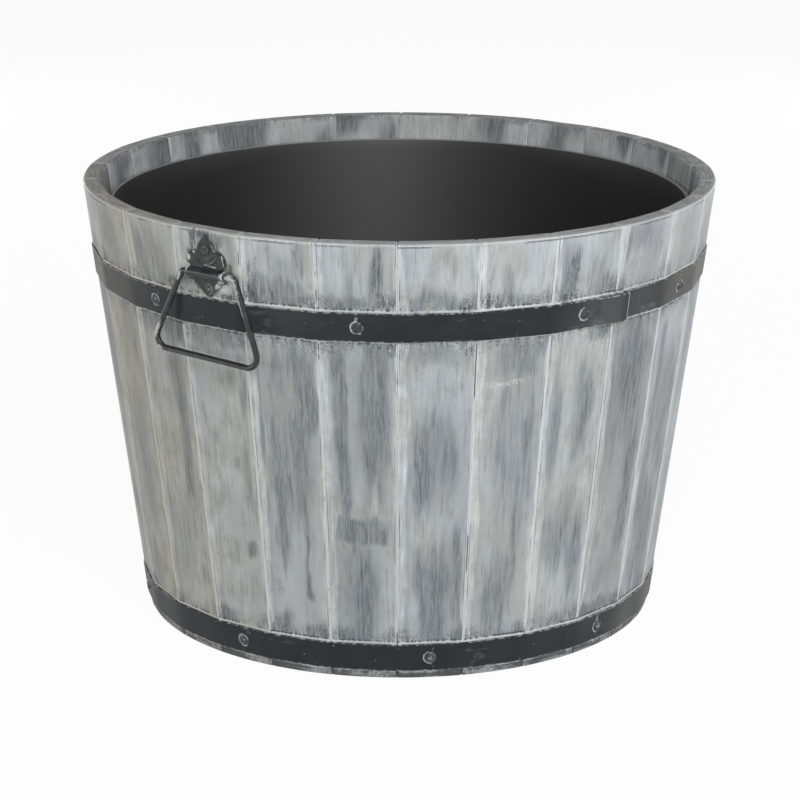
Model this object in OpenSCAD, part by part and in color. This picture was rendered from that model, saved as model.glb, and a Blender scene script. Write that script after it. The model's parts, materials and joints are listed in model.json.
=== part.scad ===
// Staved tub planter: flat tapering staves round a slatted base, bound by two lapped steel hoops,
// with a lift-out liner and two wire handles that swing on stamped plates.
// The tub's axis is Z and the feet of the staves stand on z = 0. The handles face -X and +X.

/* [Staves] */
// Width of the rim across the outer corners of the staves
rim_d = 440; // [410:5:480]
// Width of the foot across the outer corners of the staves
foot_d = 361; // [340:1:380]
// Height of the staves
tub_h = 307; // [280:1:340]
// Number of staves, even so that each handle sits on the middle of one
stave_count = 26; // [24:2:28]
// Thickness of a stave, square to its face
stave_t = 12; // [10:0.5:14]
// Hairline between two neighbouring staves
stave_joint = 0.1; // [0.05:0.05:0.3]

/* [Hoops] */
// Width of the steel strap
hoop_w = 19.5; // [14:0.5:24]
// Thickness of the steel strap
hoop_t = 1.2; // [0.8:0.1:2]
// Depth of the upper hoop's middle under the rim
upper_hoop_drop = 55.8; // [53:0.1:107]
// Height of the lower hoop's middle over the foot
lower_hoop_z = 15.9; // [12.5:0.1:18]
// Length of strap that lies doubled at a hoop's lap
lap_length = 20; // [16:1:20]
// Clearance of a strap over what lies under it
hoop_seat = 0.05; // [0.02:0.01:0.1]
// Staves from one hoop screw to the next
screw_step = 3; // [2:1:4]

/* [Hoop screws] */
// Width of a hoop screw's domed head
hoop_head_d = 8; // [7:0.1:9]
// Height of a hoop screw's domed head
hoop_head_h = 1.8; // [1.2:0.1:2.4]
// Width of a hoop screw's shank
hoop_shank_d = 3.5; // [3:0.1:4]
// Depth of an upper hoop screw in its stave
upper_screw_depth = 9.5; // [6:0.5:9.5]
// Depth of a lower hoop screw in the base boards
lower_screw_bite = 8; // [6:0.5:14]
// Clearance of a screw in its hole, all round
screw_fit = 0.05; // [0.02:0.01:0.1]

/* [Base] */
// Height of the underside of the base boards
base_z = 11.5; // [9:0.5:12]
// Thickness of the base boards
base_t = 12; // [11:0.5:16]
// Number of base boards
board_count = 5; // [4:1:6]
// Drainage gap between two base boards
board_gap = 4; // [2:0.5:6]
// Clearance between the base and the staves
base_fit = 0.2; // [0.1:0.1:0.5]
// Thickness of a batten under the boards
batten_t = 8; // [6:0.5:8.5]
// Width of a batten
batten_w = 30; // [20:1:40]
// Distance of each batten's middle from the tub's axis
batten_x = 80; // [60:1:100]
// Clearance between a batten's corners and the staves
batten_fit = 2; // [1:0.5:4]
// Width of a base screw's countersunk head
base_head_d = 7; // [6.5:0.1:8]
// Width of a base screw's shank
base_shank_d = 3.5; // [3:0.1:4]
// Depth of a base screw in its board
base_screw_bite = 8; // [6:0.5:9]

/* [Liner] */
// Depth of the liner's rim under the staves' rim
liner_rim_drop = 17; // [12:1:32]
// Thickness of the liner's wall
liner_wall = 2; // [1.5:0.1:3]
// Thickness of the liner's floor
liner_floor = 2.5; // [2:0.1:4]
// Clearance between the liner's rim and the staves
liner_rim_fit = 2; // [0.5:0.1:5]
// Clearance between the liner's foot and the staves
liner_foot_fit = 5; // [3:0.5:10]
// Radius of the liner's lower edge
liner_edge_r = 9; // [5:0.5:14]
// Width of a drain hole
drain_d = 10; // [6:0.5:14]
// Distance of the drain holes from the tub's axis
drain_ring_r = 95; // [60:1:120]
// Number of drain holes in the ring, besides the one in the middle
drain_count = 6; // [4:1:8]

/* [Handles] */
// Depth of the handle's barrel under the rim
handle_drop = 29; // [27:0.5:31]
// Thickness of the plate's sheet
plate_t = 1; // [0.8:0.1:1.4]
// Width of the plate across its two lobes
plate_w = 32; // [29:0.5:36]
// Height of the plate's tip over the barrel's middle, along the stave
plate_top = 25.8; // [24:0.1:27]
// Depth of the plate's lower end under the barrel's middle, along the stave
plate_bottom = 16.4; // [15:0.1:16.5]
// Length of the embossed barrel
barrel_length = 30; // [24:0.5:32]
// Width of the handle's wire
wire_d = 4; // [3.4:0.1:4.4]
// Clearance of the wire in the barrel, all round
wire_fit = 0.1; // [0.05:0.01:0.1]
// Clearance between the wire and the stave's face
wire_off_face = 0.3; // [0.2:0.1:0.6]
// Width of the loop at the barrel, corner to corner on the wire's centre line
loop_top_w = 43; // [41:0.5:46]
// Width of the loop at the grip, corner to corner on the wire's centre line
loop_grip_w = 90; // [80:1:96]
// Drop of the grip's middle under the barrel
loop_drop = 56; // [50:1:62]
// How much lower one end of the grip hangs than the other
loop_skew = 3.8; // [0:0.1:5]
// How far the loop's top has slid along the barrel
loop_slide = 2; // [0:0.1:2.2]
// How far the grip's middle lies to the side of the barrel's middle
grip_slide = -1; // [-3:0.5:3]
// Bend radius of the wire at the barrel, on its centre line
loop_top_bend = 4; // [3.5:0.1:5]
// Bend radius of the wire at the grip, on its centre line
loop_grip_bend = 8; // [6:0.5:12]
// Gap between the wire's two ends inside the barrel
loop_split = 0.6; // [0.3:0.1:2]
// Width of a plate screw's domed head
plate_head_d = 6.6; // [5.5:0.1:7.5]
// Height of a plate screw's domed head
plate_head_h = 1.6; // [1.2:0.1:2]
// Width of a plate screw's shank
plate_shank_d = 3; // [2.5:0.1:3.5]
// Depth of a plate screw in its stave
plate_screw_depth = 9.5; // [6:0.5:9.5]
// Height of the upper plate screw over the barrel's middle, along the stave
upper_plate_screw = 15; // [13:0.1:17]
// Depth of the lower plate screw under the barrel's middle, along the stave
lower_plate_screw = 10.4; // [9.5:0.1:10.8]

/* [Hidden] */
$fn = 64;
pitch = 360 / stave_count;
lean = atan((rim_d - foot_d) / 2 * cos(pitch / 2) / tub_h);
base_top = base_z + base_t;
upper_hoop_z = tub_h - upper_hoop_drop;
liner_rim_z = tub_h - liner_rim_drop;
handle_z = tub_h - handle_drop;
// How far a cutting shape runs past the face that it cuts
past = 1;
// Count of staves from the right handle back to the upper hoop's lap
upper_lap_count = 7;
// The staves that carry the handles, and those under the hoops' laps
handle_staves = [stave_count / 2, 0];
upper_lap_stave = stave_count - upper_lap_count;
lower_lap_stave = 0;
// Where the outer strap of a lap ends, past the middle of its stave, in degrees
lap_end = -5;
// Width of stave over which the strap steps up onto the lap, in degrees
lap_step = 0.8;
// Length, width and depth of the slots of a screw's cross recess, as shares of the head's width
recess_length = 0.56;
recess_width = 0.14;
recess_depth = 0.09;
// Points used for a quarter turn of an arc in an outline
arc_steps = 6;
// Swelling of the wire where a bend starts and ends, which makes its runs and bends one solid
bend_swell = 0.02;

function two_digits(k) = str(k < 10 ? "0" : "", k);
function stave_name(k) = str("stave_", two_digits(k));
function board_name(k) = str("base_board_", k);
stave_names = [for (k = [1:stave_count]) stave_name(k)];
board_names = [for (k = [1:board_count]) board_name(k)];

// Distance from the axis to the middle of a stave's outer face, at height z
function outer_apothem(z) = (foot_d + (rim_d - foot_d) * z / tub_h) / 2 * cos(pitch / 2);
function inner_apothem(z) = outer_apothem(z) - stave_t / cos(lean);
function upper_screw_staves() = [for (k = [1:screw_step:stave_count - 1]) upper_lap_stave + k];
function lower_screw_staves() = [for (k = [1:screw_step:stave_count - 1]) lower_lap_stave + k];
function arc(centre, r, from, to) =
    [for (k = [0:arc_steps]) let (a = from + (to - from) * k / arc_steps)
        centre + r * [cos(a), sin(a)]];

// Places its children on the outer face of a stave: x across, y up the stave, z out of the face
module on_stave(index, z) {
    rotate([0, 0, index * pitch])
        translate([outer_apothem(z), 0, z])
            rotate([0, 90 + lean, 0])
                rotate([0, 0, 90])
                    children();
}

// Staves

module stave_blank() {
    far = rim_d / 2;
    apex = stave_joint / 2 / sin(pitch / 2);
    section = [
        [outer_apothem(0), 0], [outer_apothem(tub_h), tub_h],
        [inner_apothem(tub_h), tub_h], [inner_apothem(0), 0]
    ];
    intersection() {
        rotate([90, 0, 0])
            linear_extrude(rim_d, center = true)
                polygon(section);
        linear_extrude(tub_h)
            polygon([
                [apex, 0],
                [far, -(far - apex) * tan(pitch / 2)],
                [far, (far - apex) * tan(pitch / 2)]
            ]);
    }
}

module stave(k) {
    color("#aeb4b6")
        difference() {
            rotate([0, 0, (k - 1) * pitch])
                stave_blank();
            if (carries(k - 1, upper_screw_staves())) upper_screw_hole(k - 1);
            if (carries(k - 1, lower_screw_staves())) lower_screw_hole(k - 1);
            if (carries(k - 1, handle_staves)) plate_screw_holes(k - 1);
        }
}

function carries(index, staves) = len([for (s = staves) if (s % stave_count == index) s]) > 0;

// Hoops

// Corner of a strap's section: a place on the staves' outer face moved out square to it
function off_face(z, out) = [outer_apothem(z) + out * cos(lean), z - out * sin(lean)];

// Strap section at one angle round the tub: lower inside, upper inside, upper outside, lower outside
function strap_section(angle, z, lift) =
    let (from_middle = angle - pitch * round(angle / pitch),
         half = hoop_w / 2 * cos(lean),
         corners = [
             off_face(z - half, lift), off_face(z + half, lift),
             off_face(z + half, lift + hoop_t), off_face(z - half, lift + hoop_t)
         ])
        [for (c = corners) [c.x / cos(from_middle) * cos(angle), c.x / cos(from_middle) * sin(angle), c.y]];

// One strap that follows the flats and lies doubled from its inner end to its outer end
module strap(z, lap_stave) {
    outer_end = lap_stave * pitch + lap_end + 360;
    inner_end = outer_end - 360 - lap_length / outer_apothem(z) * 180 / PI;
    step_end = inner_end + 360 - lap_step / 2;
    step_start = step_end - lap_step;
    lap_lift = hoop_t + 2 * hoop_seat;
    bends = [for (k = [-stave_count:3 * stave_count]) (k + 0.5) * pitch];
    single = concat([inner_end], [for (b = bends) if (b > inner_end && b < step_start) b], [step_start]);
    doubled = concat([step_end], [for (b = bends) if (b > step_end && b < outer_end) b], [outer_end]);
    sections = concat(
        [for (a = single) strap_section(a, z, hoop_seat)],
        [for (a = doubled) strap_section(a, z, lap_lift)]
    );
    last = len(sections) - 1;
    sides = [for (s = [0:last - 1], k = [0:3])
        let (a = 4 * s + k, b = 4 * s + (k + 1) % 4)
            each [[a, a + 4, b], [b, a + 4, b + 4]]];
    end = 4 * last;
    ends = [[0, 1, 2], [0, 2, 3], [end, end + 3, end + 2], [end, end + 2, end + 1]];
    polyhedron([for (s = sections) each s], concat(sides, ends));
}

module upper_hoop() {
    color("#3a3d3e")
        difference() {
            strap(upper_hoop_z, upper_lap_stave);
            for (s = upper_screw_staves()) upper_screw_hole(s);
        }
}

module lower_hoop() {
    color("#3a3d3e")
        difference() {
            strap(lower_hoop_z, lower_lap_stave);
            for (s = lower_screw_staves()) lower_screw_hole(s);
        }
}

// Screws

// A pointed screw along -z, with a domed cross-recessed head that seats on z = 0
module domed_screw(head_d, head_h, shank_d, length) {
    head_r = head_d / 2;
    shank_r = shank_d / 2;
    dome_r = (head_r * head_r + head_h * head_h) / (2 * head_h);
    dome = [for (k = [0:arc_steps]) let (r = head_r * (1 - k / arc_steps))
        [r, head_h - dome_r + sqrt(dome_r * dome_r - r * r)]];
    difference() {
        rotate_extrude()
            polygon(concat(
                [[0, -length], [shank_r, shank_r * 2 - length], [shank_r, 0]],
                dome
            ));
        for (turn = [45, 135])
            translate([0, 0, head_h])
                rotate([0, 0, turn])
                    cube([head_d * recess_length, head_d * recess_width, 2 * head_d * recess_depth],
                        center = true);
    }
}

module screw_bore(shank_d, length, head_lift) {
    translate([0, 0, -length - screw_fit])
        cylinder(d = shank_d + 2 * screw_fit, h = length + screw_fit + head_lift + past);
}

hoop_head_lift = hoop_t + hoop_seat;
upper_screw_length = upper_screw_depth + hoop_head_lift;
lower_screw_length = lower_screw_bite + base_fit + stave_t + hoop_head_lift;

module upper_screw_hole(index) {
    on_stave(index, upper_hoop_z) screw_bore(hoop_shank_d, upper_screw_depth, hoop_head_lift);
}

module lower_screw_hole(index) {
    on_stave(index, lower_hoop_z)
        screw_bore(hoop_shank_d, lower_screw_length - hoop_head_lift, hoop_head_lift);
}

module upper_hoop_screws() {
    color("#4a4e50")
        for (s = upper_screw_staves())
            on_stave(s, upper_hoop_z)
                translate([0, 0, hoop_head_lift])
                    domed_screw(hoop_head_d, hoop_head_h, hoop_shank_d, upper_screw_length);
}

module lower_hoop_screws() {
    color("#4a4e50")
        for (s = lower_screw_staves())
            on_stave(s, lower_hoop_z)
                translate([0, 0, hoop_head_lift])
                    domed_screw(hoop_head_d, hoop_head_h, hoop_shank_d, lower_screw_length);
}

// Base

base_r = inner_apothem(base_top) - base_fit;
board_pitch = 2 * base_r / board_count;
batten_far = batten_x + batten_w / 2;
batten_half = sqrt(pow(inner_apothem(base_z - batten_t) - batten_fit, 2) - batten_far * batten_far);

function board_start(k) = -base_r + (k - 1) * board_pitch + (k > 1 ? board_gap / 2 : 0);
function board_end(k) = -base_r + k * board_pitch - (k < board_count ? board_gap / 2 : 0);
// A base screw stands in the middle of the stretch where its board crosses the batten
function base_screw_y(k) = (max(board_start(k), -batten_half) + min(board_end(k), batten_half)) / 2;

module base_board(k) {
    color("#9a9c98")
        difference() {
            intersection() {
                translate([0, 0, base_z])
                    cylinder(r1 = inner_apothem(base_z) - base_fit, r2 = base_r, h = base_t);
                translate([-base_r, board_start(k), base_z])
                    cube([2 * base_r, board_end(k) - board_start(k), base_t]);
            }
            for (s = lower_screw_staves()) lower_screw_hole(s);
            for (side = [-1, 1]) base_screw_hole(side, k);
        }
}

module base_batten(side) {
    color("#9a9c98")
        difference() {
            translate([side * batten_x - batten_w / 2, -batten_half, base_z - batten_t])
                cube([batten_w, 2 * batten_half, batten_t]);
            for (k = [1:board_count]) base_screw_hole(side, k);
        }
}

// Outline of a countersunk screw from its head at z = 0 up to its point, widened by a clearance
module countersunk_outline(fit) {
    head_r = base_head_d / 2 + fit;
    shank_r = base_shank_d / 2 + fit;
    neck = head_r - shank_r;
    length = batten_t + base_screw_bite + fit;
    polygon([
        [0, 0], [head_r, 0], [shank_r, neck], [shank_r, length - 2 * shank_r], [0, length]
    ]);
}

module base_screw_hole(side, k) {
    translate([side * batten_x, base_screw_y(k), base_z - batten_t]) {
        rotate_extrude() countersunk_outline(screw_fit);
        translate([0, 0, -past]) cylinder(d = base_head_d + 2 * screw_fit, h = past);
    }
}

module base_screws() {
    color("#8c8f90")
        for (side = [-1, 1], k = [1:board_count])
            translate([side * batten_x, base_screw_y(k), base_z - batten_t])
                rotate_extrude() countersunk_outline(0);
}

// Liner

module liner_section() {
    top_r = inner_apothem(liner_rim_z) - liner_rim_fit;
    foot_r = inner_apothem(base_top) - liner_foot_fit;
    height = liner_rim_z - base_top;
    flare = atan((top_r - foot_r) / height);
    edge_r = liner_edge_r;
    // Middle of the round lower edge, which meets the floor and the flared wall smoothly
    edge_x = foot_r - edge_r * (1 - sin(flare)) / cos(flare);
    edge = [edge_x, base_top + edge_r];
    inner_r = edge_r - liner_wall;
    wall_in = liner_wall / cos(flare);
    polygon(concat(
        [[0, base_top]],
        arc(edge, edge_r, -90, -flare),
        [[top_r, liner_rim_z], [top_r - wall_in, liner_rim_z]],
        arc(edge, inner_r, -flare, -asin((edge_r - liner_floor) / inner_r)),
        [[0, base_top + liner_floor]]
    ));
}

module liner() {
    color("#2a2b2b")
        difference() {
            rotate_extrude() liner_section();
            translate([0, 0, base_top - past]) {
                cylinder(d = drain_d, h = liner_floor + 2 * past);
                for (k = [1:drain_count])
                    rotate([0, 0, k * 360 / drain_count])
                        translate([drain_ring_r, 0, 0])
                            cylinder(d = drain_d, h = liner_floor + 2 * past);
            }
        }
}

// Handles

wire_r = wire_d / 2;
wire_height = wire_r + wire_off_face;
barrel_bore_r = wire_r + wire_fit;
barrel_r = barrel_bore_r + plate_t;
// The barrel's middle, which is the handle's hinge line
hinge_r = outer_apothem(handle_z) + wire_height * cos(lean);
hinge_z = handle_z - wire_height * sin(lean);

// Spade shape: a pointed tip over two round lobes, and a tapering lower half
module plate_outline() {
    tip_r = 1.6;
    shoulder_r = 7;
    lobe_r = 7.2;
    lobe_y = 8.4;
    chin_r = 4.6;
    brim = 0.3;
    lobe_x = plate_w / 2 - lobe_r;
    shelf = barrel_r + brim;
    hull() {
        translate([0, plate_top - tip_r]) circle(tip_r);
        translate([0, upper_plate_screw]) circle(shoulder_r);
    }
    for (side = [-1, 1])
        translate([side * lobe_x, lobe_y]) circle(lobe_r);
    translate([-barrel_length / 2, -shelf])
        square([barrel_length, lobe_y + shelf]);
    hull() {
        translate([-barrel_length / 2, -shelf]) square([barrel_length, shelf]);
        translate([0, chin_r - plate_bottom]) circle(chin_r);
    }
}

module handle_plate(index) {
    color("#2f3234")
        difference() {
            on_stave(index, handle_z)
                difference() {
                    union() {
                        linear_extrude(plate_t) plate_outline();
                        translate([0, 0, wire_height])
                            rotate([0, 90, 0])
                                cylinder(r = barrel_r, h = barrel_length, center = true);
                        translate([-barrel_length / 2, -barrel_r, 0])
                            cube([barrel_length, 2 * barrel_r, wire_height]);
                    }
                    translate([0, 0, wire_height])
                        rotate([0, 90, 0])
                            cylinder(r = barrel_bore_r, h = plate_w + 2 * past, center = true);
                    translate([-plate_w / 2 - past, -barrel_bore_r, -past])
                        cube([plate_w + 2 * past, 2 * barrel_bore_r, wire_height + past]);
                    translate([-plate_w / 2, -plate_w, -plate_w])
                        cube([plate_w, 2 * plate_w, plate_w]);
                }
            plate_screw_holes(index);
        }
}

module on_plate_screws(index) {
    on_stave(index, handle_z)
        for (y = [upper_plate_screw, -lower_plate_screw])
            translate([0, y, 0]) children();
}

module plate_screw_holes(index) {
    on_plate_screws(index) screw_bore(plate_shank_d, plate_screw_depth, plate_t);
}

module handle_screws(index) {
    color("#3c4042")
        on_plate_screws(index)
            translate([0, 0, plate_t])
                domed_screw(plate_head_d, plate_head_h, plate_shank_d, plate_screw_depth + plate_t);
}

// The wire's path on its centre line, from one end round the loop to the other end, with its bends
loop_path = [
    [loop_slide - loop_split / 2, 0], [loop_slide - loop_top_w / 2, 0],
    [grip_slide - loop_grip_w / 2, loop_skew / 2 - loop_drop],
    [grip_slide + loop_grip_w / 2, -loop_skew / 2 - loop_drop],
    [loop_slide + loop_top_w / 2, 0], [loop_slide + loop_split / 2, 0]
];
loop_bends = [0, loop_top_bend, loop_grip_bend, loop_grip_bend, loop_top_bend, 0];
loop_runs = len(loop_path) - 1;

function run_angle(k) = let (d = loop_path[k + 1] - loop_path[k]) atan2(d.y, d.x);
function turn_angle(k) = (run_angle(k) - run_angle(k - 1) + 720) % 360;
function bend_reach(k) = loop_bends[k] > 0 ? loop_bends[k] * tan(turn_angle(k) / 2) : 0;

// One wire: straight runs joined by round bends
module wire_loop() {
    for (k = [0:loop_runs - 1]) {
        a = run_angle(k);
        start = loop_path[k] + bend_reach(k) * [cos(a), sin(a)];
        length = norm(loop_path[k + 1] - loop_path[k]) - bend_reach(k) - bend_reach(k + 1);
        translate([start.x, start.y, 0])
            rotate([0, 90, a]) {
                cylinder(r = wire_r, h = length);
                if (k > 0) sphere(wire_r + bend_swell);
                if (k < loop_runs - 1) translate([0, 0, length]) sphere(wire_r + bend_swell);
            }
    }
    for (k = [1:loop_runs - 1]) {
        a = run_angle(k - 1);
        bend_start = loop_path[k] - bend_reach(k) * [cos(a), sin(a)];
        centre = bend_start + loop_bends[k] * [-sin(a), cos(a)];
        translate([centre.x, centre.y, 0])
            rotate([0, 0, a - 90])
                rotate_extrude(angle = turn_angle(k))
                    translate([loop_bends[k], 0]) circle(wire_r);
    }
}

module handle_loop(index) {
    color("#26282a")
        rotate([0, 0, index * pitch])
            translate([hinge_r, 0, hinge_z])
                rotate([90, 0, 90])
                    wire_loop();
}

for (k = [1:stave_count])
    stave(k);
upper_hoop();
upper_hoop_screws();
lower_hoop();
lower_hoop_screws();
for (k = [1:board_count])
    base_board(k);
base_batten(-1);  // base_batten_left
base_batten(1);  // base_batten_right
base_screws();
liner();
handle_plate(handle_staves[0]);  // left_handle_plate
handle_screws(handle_staves[0]);  // left_handle_screws
handle_loop(handle_staves[0]);  // left_handle_loop
handle_plate(handle_staves[1]);  // right_handle_plate
handle_screws(handle_staves[1]);  // right_handle_screws
handle_loop(handle_staves[1]);  // right_handle_loop
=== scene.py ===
# %% [markdown]
# A whitewashed tub planter. The construction model gives every size and place, so this script loads it
# first and keeps it still. The new pieces made here lie exactly where its pieces are, and only change how
# they look: softened edges, worn paint, scuffed steel and moulded plastic.

# %% Load the frame
import json
import math

import bmesh
import bpy
import numpy as np
from mathutils import Matrix, Vector


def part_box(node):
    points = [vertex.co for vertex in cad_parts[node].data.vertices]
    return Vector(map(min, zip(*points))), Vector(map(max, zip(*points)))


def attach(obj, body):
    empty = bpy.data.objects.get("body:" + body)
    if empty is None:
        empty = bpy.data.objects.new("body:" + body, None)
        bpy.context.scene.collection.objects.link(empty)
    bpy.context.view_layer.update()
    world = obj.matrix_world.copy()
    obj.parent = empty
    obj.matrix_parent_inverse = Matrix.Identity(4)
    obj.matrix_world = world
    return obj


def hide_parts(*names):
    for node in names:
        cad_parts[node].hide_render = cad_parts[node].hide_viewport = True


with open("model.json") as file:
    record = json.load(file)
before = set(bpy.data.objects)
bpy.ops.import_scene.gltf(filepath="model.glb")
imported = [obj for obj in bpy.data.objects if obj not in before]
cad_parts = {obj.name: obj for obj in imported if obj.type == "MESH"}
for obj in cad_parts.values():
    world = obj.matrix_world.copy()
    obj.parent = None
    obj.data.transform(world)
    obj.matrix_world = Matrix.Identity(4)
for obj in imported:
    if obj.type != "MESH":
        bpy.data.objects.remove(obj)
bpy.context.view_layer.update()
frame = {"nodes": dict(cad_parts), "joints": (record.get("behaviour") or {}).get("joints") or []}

# %% [markdown]
# The tub is a ring of flat staves that lean out. One stave of the construction model is enough to learn the
# whole ring from: how high it is, how far its two faces stand from the axis at the foot and at the rim,
# and how many copies there are. All that follows is worked out from these few measures, in metres.

# %% Measure the staves
MM = 0.001
NEAR = 0.01 * MM


def vertices_of(node):
    """Places of a CAD node's vertices, one row a vertex."""
    mesh = frame["nodes"][node].data
    places = np.empty(3 * len(mesh.vertices))
    mesh.vertices.foreach_get("co", places)
    return places.reshape(-1, 3)


stave_count = sum(name.startswith("stave_") for name in frame["nodes"])
pitch = 2 * math.pi / stave_count
first_stave = vertices_of("stave_01")
tub_h = first_stave[:, 2].max()
at_rim = first_stave[first_stave[:, 2] > tub_h - NEAR]
at_foot = first_stave[first_stave[:, 2] < NEAR]
rim_out, rim_in = at_rim[:, 0].max(), at_rim[:, 0].min()
foot_out, foot_in = at_foot[:, 0].max(), at_foot[:, 0].min()
stave_t = rim_out - rim_in
lean = math.atan((rim_out - foot_out) / tub_h)
half_slope = math.tan(pitch / 2)
joint_apex = rim_out - at_rim[:, 1].max() / half_slope
stave_length = tub_h / math.cos(lean)


def outer_face(z):
    """Distance of the outer faces from the axis: a straight line from the foot to the rim."""
    return foot_out + (rim_out - foot_out) * z / tub_h


def inner_face(z):
    """Distance of the inner faces from the axis, in the same way."""
    return foot_in + (rim_in - foot_in) * z / tub_h


def half_width(distance):
    """Half the width of a stave at a distance from the axis: it grows by the tangent of half the pitch."""
    return (distance - joint_apex) * half_slope


print(f"{stave_count} staves, {tub_h / MM:.1f} mm high, rim {rim_out / MM:.1f}, foot {foot_out / MM:.1f} mm")

# %% [markdown]
# Almost every piece here is a row of closed rings: the section of a board, a strap, a wire or a screw,
# carried along a path. So one helper turns rings into a mesh, whole arrays at a time. It also stores
# numbers on the points, such as how worn the paint is, for the materials to read.

# %% A mesh from rings


def facing_out(points, faces):
    """The faces, turned round if the volume that they enclose comes out negative.

    The volume is a sixth of the sum over triangles of a . (b x c).
    """
    total = 0.0
    for k in range(1, faces[0].shape[1] - 1):
        a, b, c = (points[faces[0][:, corner]] for corner in (0, k, k + 1))
        total += np.einsum("ij,ij->", a, np.cross(b, c))
    return [group[:, ::-1] for group in faces] if total < 0 else faces


def shown(name, mesh):
    """An object of this name and mesh, in the scene."""
    made = bpy.data.objects.new(name, mesh)
    bpy.context.scene.collection.objects.link(made)
    return made


def mesh_object(name, points, faces, numbers):
    """A smooth-shaded object from arrays of points and faces, with a number or a vector on each point."""
    mesh = bpy.data.meshes.new(name)
    mesh.from_pydata(points.tolist(), [], [face for group in faces for face in group.tolist()])
    mesh.shade_smooth()
    for label, values in numbers.items():
        kind, part = ("FLOAT_VECTOR", "vector") if values.ndim == 2 else ("FLOAT", "value")
        store = mesh.attributes.new(label, kind, "POINT")
        store.data.foreach_set(part, values.astype(np.float32).ravel())
    return shown(name, mesh)


def ring_faces(count, around):
    """Quads between neighbouring rings, and a fan of triangles over each end.

    Point j of ring i has number i * around + j, and the two end points come after all rings.
    """
    i = np.arange(count - 1)[:, None] * around
    j = np.arange(around)[None, :]
    after = (j + 1) % around
    quads = np.stack([i + j, i + after, i + after + around, i + j + around], axis=-1).reshape(-1, 4)
    ring = np.arange(around)
    following = (ring + 1) % around
    last = (count - 1) * around
    fans = [(following, ring, count * around), (last + ring, last + following, count * around + 1)]
    return [quads, np.concatenate([np.stack([a, b, np.full(around, pole)], axis=1) for a, b, pole in fans])]


def with_poles(values):
    """Ring values as one flat array, followed by the mean of the first ring and that of the last."""
    flat = values.reshape(-1, *values.shape[2:])
    return np.concatenate([flat, values[:1].mean(axis=1), values[-1:].mean(axis=1)])


def ring_object(name, *shells):
    """One object from one or more shells, each of them its rings and the numbers on its points."""
    points, faces, start = [], [[], []], 0
    for rings, _ in shells:
        flat = with_poles(rings)
        for group, found in zip(faces, facing_out(flat, ring_faces(*rings.shape[:2]))):
            group.append(found + start)
        points.append(flat)
        start += len(flat)
    labels = shells[0][1]
    numbers = {label: np.concatenate([with_poles(held[label]) for _, held in shells]) for label in labels}
    return mesh_object(name, np.concatenate(points), [np.concatenate(group) for group in faces], numbers)


def stands_for(piece, node, body="tub"):
    """Puts a piece in the place of a CAD node, which it hides, and on that node's body."""
    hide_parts(node)
    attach(piece, body)
    return piece


print("a row of 3 rings of 4 points has", sum(len(group) for group in ring_faces(3, 4)), "faces")

# %% Points and outlines
SOFT_CORNER_STEPS = 3


def unit(vectors):
    """Each vector over its own length."""
    return vectors / np.linalg.norm(vectors, axis=-1, keepdims=True)


def around_axis(distance, angle, height):
    """Points from a distance, an angle and a height: (d cos a, d sin a, z)."""
    x, y = distance * np.cos(angle), distance * np.sin(angle)
    return np.stack(np.broadcast_arrays(x, y, height), axis=-1)


def full_turn(count):
    """Angles in even steps round a full turn."""
    return np.linspace(0, 2 * math.pi, count, endpoint=False)


def revolved(outline, around):
    """Rings from an outline of (distance from the axis, height): each point sweeps a circle."""
    return around_axis(outline[:, 0, None], full_turn(around), outline[:, 1, None])


def turned(points, angle):
    """Points turned about the tub's axis."""
    c, s = math.cos(angle), math.sin(angle)
    return points @ np.array([[c, s, 0], [-s, c, 0], [0, 0, 1]])


def soft_outline(corners, radius, corner_steps, side_steps):
    """Four-cornered outlines with soft corners, one for each row of corners (rows, 4, 2).

    A corner is a quadratic curve, (1 - s)^2 start + 2 s (1 - s) corner + s^2 end, whose start and end lie
    one radius from the corner on its two sides. A side is a straight line cut into equal steps.
    """
    side = unit(np.roll(corners, -1, axis=1) - corners)
    start = corners - np.roll(side, 1, axis=1) * radius
    end = corners + side * radius
    s = np.linspace(0, 1, corner_steps + 1)[:, None]
    parts = []
    for k in range(4):
        a, c, b = start[:, k, None], corners[:, k, None], end[:, k, None]
        parts.append((1 - s) ** 2 * a + 2 * s * (1 - s) * c + s**2 * b)
        t = np.linspace(0, 1, side_steps[k] + 1)[1:-1, None]
        parts.append(b + (start[:, (k + 1) % 4, None] - b) * t)
    return np.concatenate(parts, axis=1)


def soft_rectangle(half, low, high, radius, side_steps):
    """The outline of one flat bar, across and through its thickness."""
    corners = np.array([[[-half, low], [half, low], [half, high], [-half, high]]])
    return soft_outline(corners, radius, SOFT_CORNER_STEPS, side_steps)[0]


print("a soft square has", len(soft_rectangle(1.0, 0.0, 2.0, 0.2, (4, 4, 4, 4))), "points")

# %% [markdown]
# Worn paint isn't even noise. It has soft patches that a hand has rubbed, with finer streaks inside. The
# patches are worked out here, as heights of a smooth random surface, and stored on the points. The streaks
# are far finer than the mesh, so they are left to the material.

# %% Smooth random numbers
TABLE_SIZE = 64


def soft_noise(x, y, seed):
    """Smooth random heights from 0 to 1.

    Each whole-number point of the plane has a random height, and between four of them the heights are
    blended by 3 t^2 - 2 t^3 both ways.
    """
    table = np.random.default_rng(seed).random((TABLE_SIZE, TABLE_SIZE))
    i, j = np.floor(x).astype(int), np.floor(y).astype(int)
    s, t = x - i, y - j
    s, t = s * s * (3 - 2 * s), t * t * (3 - 2 * t)
    near, far = i % TABLE_SIZE, (i + 1) % TABLE_SIZE
    low, high = j % TABLE_SIZE, (j + 1) % TABLE_SIZE
    lower = table[near, low] * (1 - s) + table[far, low] * s
    upper = table[near, high] * (1 - s) + table[far, high] * s
    return lower * (1 - t) + upper * t


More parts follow.
